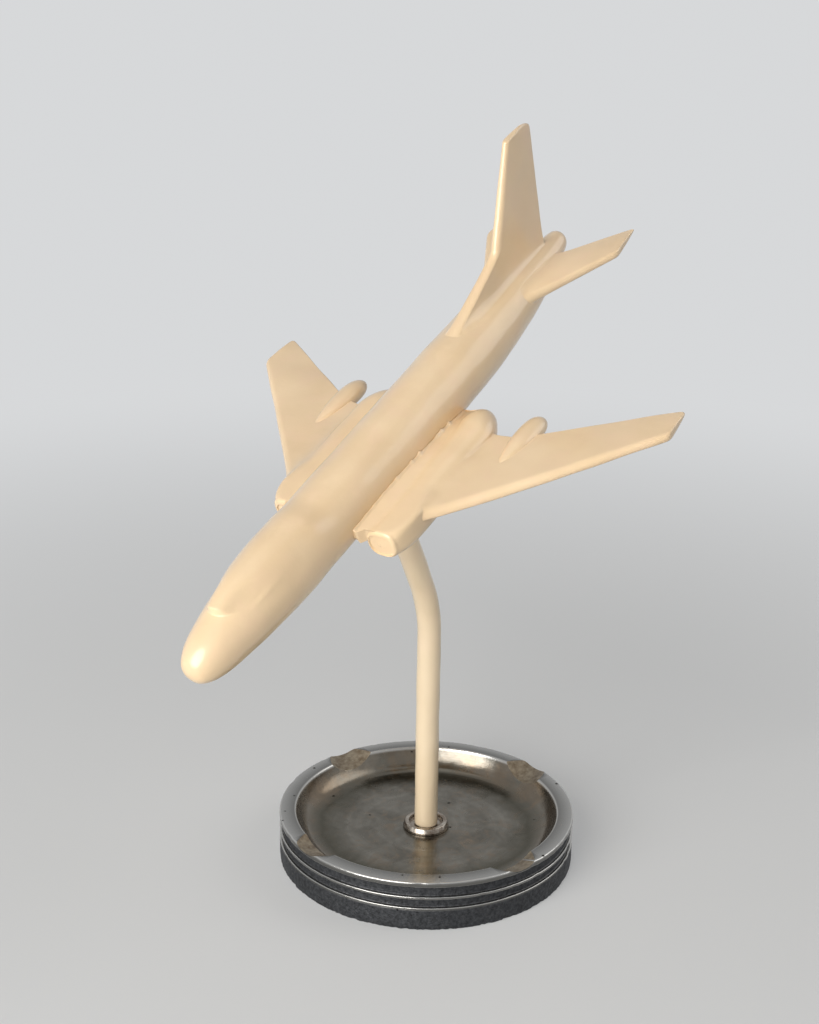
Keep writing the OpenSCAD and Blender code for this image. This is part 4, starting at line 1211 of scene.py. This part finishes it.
# pieces hidden inside keep their own shape
hidden = {"belly_insert": insertBrass, "nose_dowel": brightSteel, "tail_dowel": brightSteel,
          "wing_spar": brightSteel, "root_pins": brightSteel, "fin_pins": brightSteel,
          "tailplane_pin": brightSteel}
for name, material in hidden.items():
    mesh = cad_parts[name].data
    mesh.materials.clear()
    mesh.materials.append(material)


# table, light and camera

stage = {"floor": (0.78, 0.78, 0.77, 1), "back": (0.68, 0.69, 0.70, 1), "worldStrength": 0.09,
         "floorSize": 30.0, "fadeFrom": 0.12, "fadeTo": 0.7, "nearGlow": 0.35,
         "lampAim": (0.01, 0, 0.12), "lampColour": (1.0, 0.985, 0.96)}
# place, width and power of each lamp, in metres and watts
lamps = {"keyLamp": ((1.05, 0.05, 0.45), 1.0, 15.2), "topLamp": ((0.15, -0.1, 1.15), 0.9, 0.7),
         "backLamp": ((-0.6, 0.6, 0.7), 0.8, 2.4)}


def seenRay(tree):  # 1 for what the camera, a reflection or a clear piece shows, 0 for light
    path = node(tree, "LightPath").outputs
    seen = math2(tree, "MAXIMUM", path["Is Camera Ray"], path["Is Glossy Ray"])
    return math2(tree, "MAXIMUM", seen, path["Is Transmission Ray"])


def paleFloor():  # keeps the shadow near the model and fades into the backdrop further out
    def square(body):
        bmesh.ops.create_grid(body, x_segments=1, y_segments=1, size=stage["floorSize"])

    mesh = edited(bpy.data.meshes.new("paleFloor"), square)
    floor = newObject("paleFloor", mesh)
    material, tree, shader, where = blankMaterial("paleFloor", Roughness=0.6)
    shade = grey(tree, patches(tree, where, 180, 2, (0.3, 0.7), to=(0.98, 1.0)))
    tree.links.new(mixColours(tree, 1.0, stage["floor"], shade, "MULTIPLY"), shader.inputs["Base Color"])
    far = node(tree, "VectorMath", {0: where}, operation="LENGTH").outputs["Value"]
    fading = {"Value": far, "From Min": stage["fadeFrom"], "From Max": stage["fadeTo"],
              "To Min": stage["nearGlow"]}
    fade = node(tree, "MapRange", fading, interpolation_type="SMOOTHSTEP").outputs["Result"]
    glow = node(tree, "Emission", {"Color": stage["back"], "Strength": 1.0})
    share = math2(tree, "MULTIPLY", fade, seenRay(tree))
    both = node(tree, "MixShader", {0: share, 1: shader.outputs[0], 2: glow.outputs[0]})
    tree.links.new(both.outputs[0], tree.nodes["Material Output"].inputs["Surface"])
    mesh.materials.append(material)


def paleWorld():
    world = bpy.data.worlds.new("paleWorld")
    scene.world = world
    world.use_nodes = True
    tree = world.node_tree
    light = tree.nodes["Background"]
    light.inputs["Color"].default_value = (0.96, 0.98, 1.0, 1)
    light.inputs["Strength"].default_value = stage["worldStrength"]
    seen = node(tree, "Background", {"Color": stage["back"], "Strength": 1.0})
    choose = node(tree, "MixShader", {0: seenRay(tree), 1: light.outputs[0], 2: seen.outputs[0]})
    tree.links.new(choose.outputs[0], tree.nodes["World Output"].inputs["Surface"])


def softLamp(name):
    place, size, watts = lamps[name]
    lamp = bpy.data.lights.new(name, "AREA")
    lamp.shape, lamp.size, lamp.energy, lamp.color = "DISK", size, watts, stage["lampColour"]
    holder = newObject(name, lamp)
    holder.location = place
    aim = Vector(stage["lampAim"]) - Vector(place)
    holder.rotation_euler = aim.to_track_quat("-Z", "Y").to_euler()


def photoCamera():  # place in millimetres, turns in degrees, lens for a 36 mm wide picture
    view = {"place": (391.1, 277.9, 277.4), "heading": 125.39, "aim": -0.844, "tilt": 17.91,
            "roll": 0.74, "lens": 55.17}
    aim, tilt, roll = (math.radians(view[k]) for k in ("aim", "tilt", "roll"))
    forward = Vector((math.sin(aim) * math.cos(tilt), math.cos(aim) * math.cos(tilt), -math.sin(tilt)))
    level = Vector((math.cos(aim), -math.sin(aim), 0))
    above = level.cross(forward)
    right = level * math.cos(roll) + above * math.sin(roll)
    up = above * math.cos(roll) - level * math.sin(roll)
    turn = Matrix.Rotation(math.radians(view["heading"]), 4, "Z")
    matrix = Matrix((right, up, -forward)).transposed().to_4x4()
    data = bpy.data.cameras.new("photoCamera")
    data.sensor_width, data.lens = 36.0, view["lens"]
    data.clip_start, data.clip_end = 0.01, 50
    camera = newObject("photoCamera", data)
    camera.matrix_world = Matrix.Translation(Vector(view["place"]) * mm) @ turn @ matrix
    scene.camera = camera


paleFloor()
paleWorld()
for name in lamps:
    softLamp(name)
photoCamera()
scene.view_settings.view_transform = "Standard"
print("table, light and camera set")
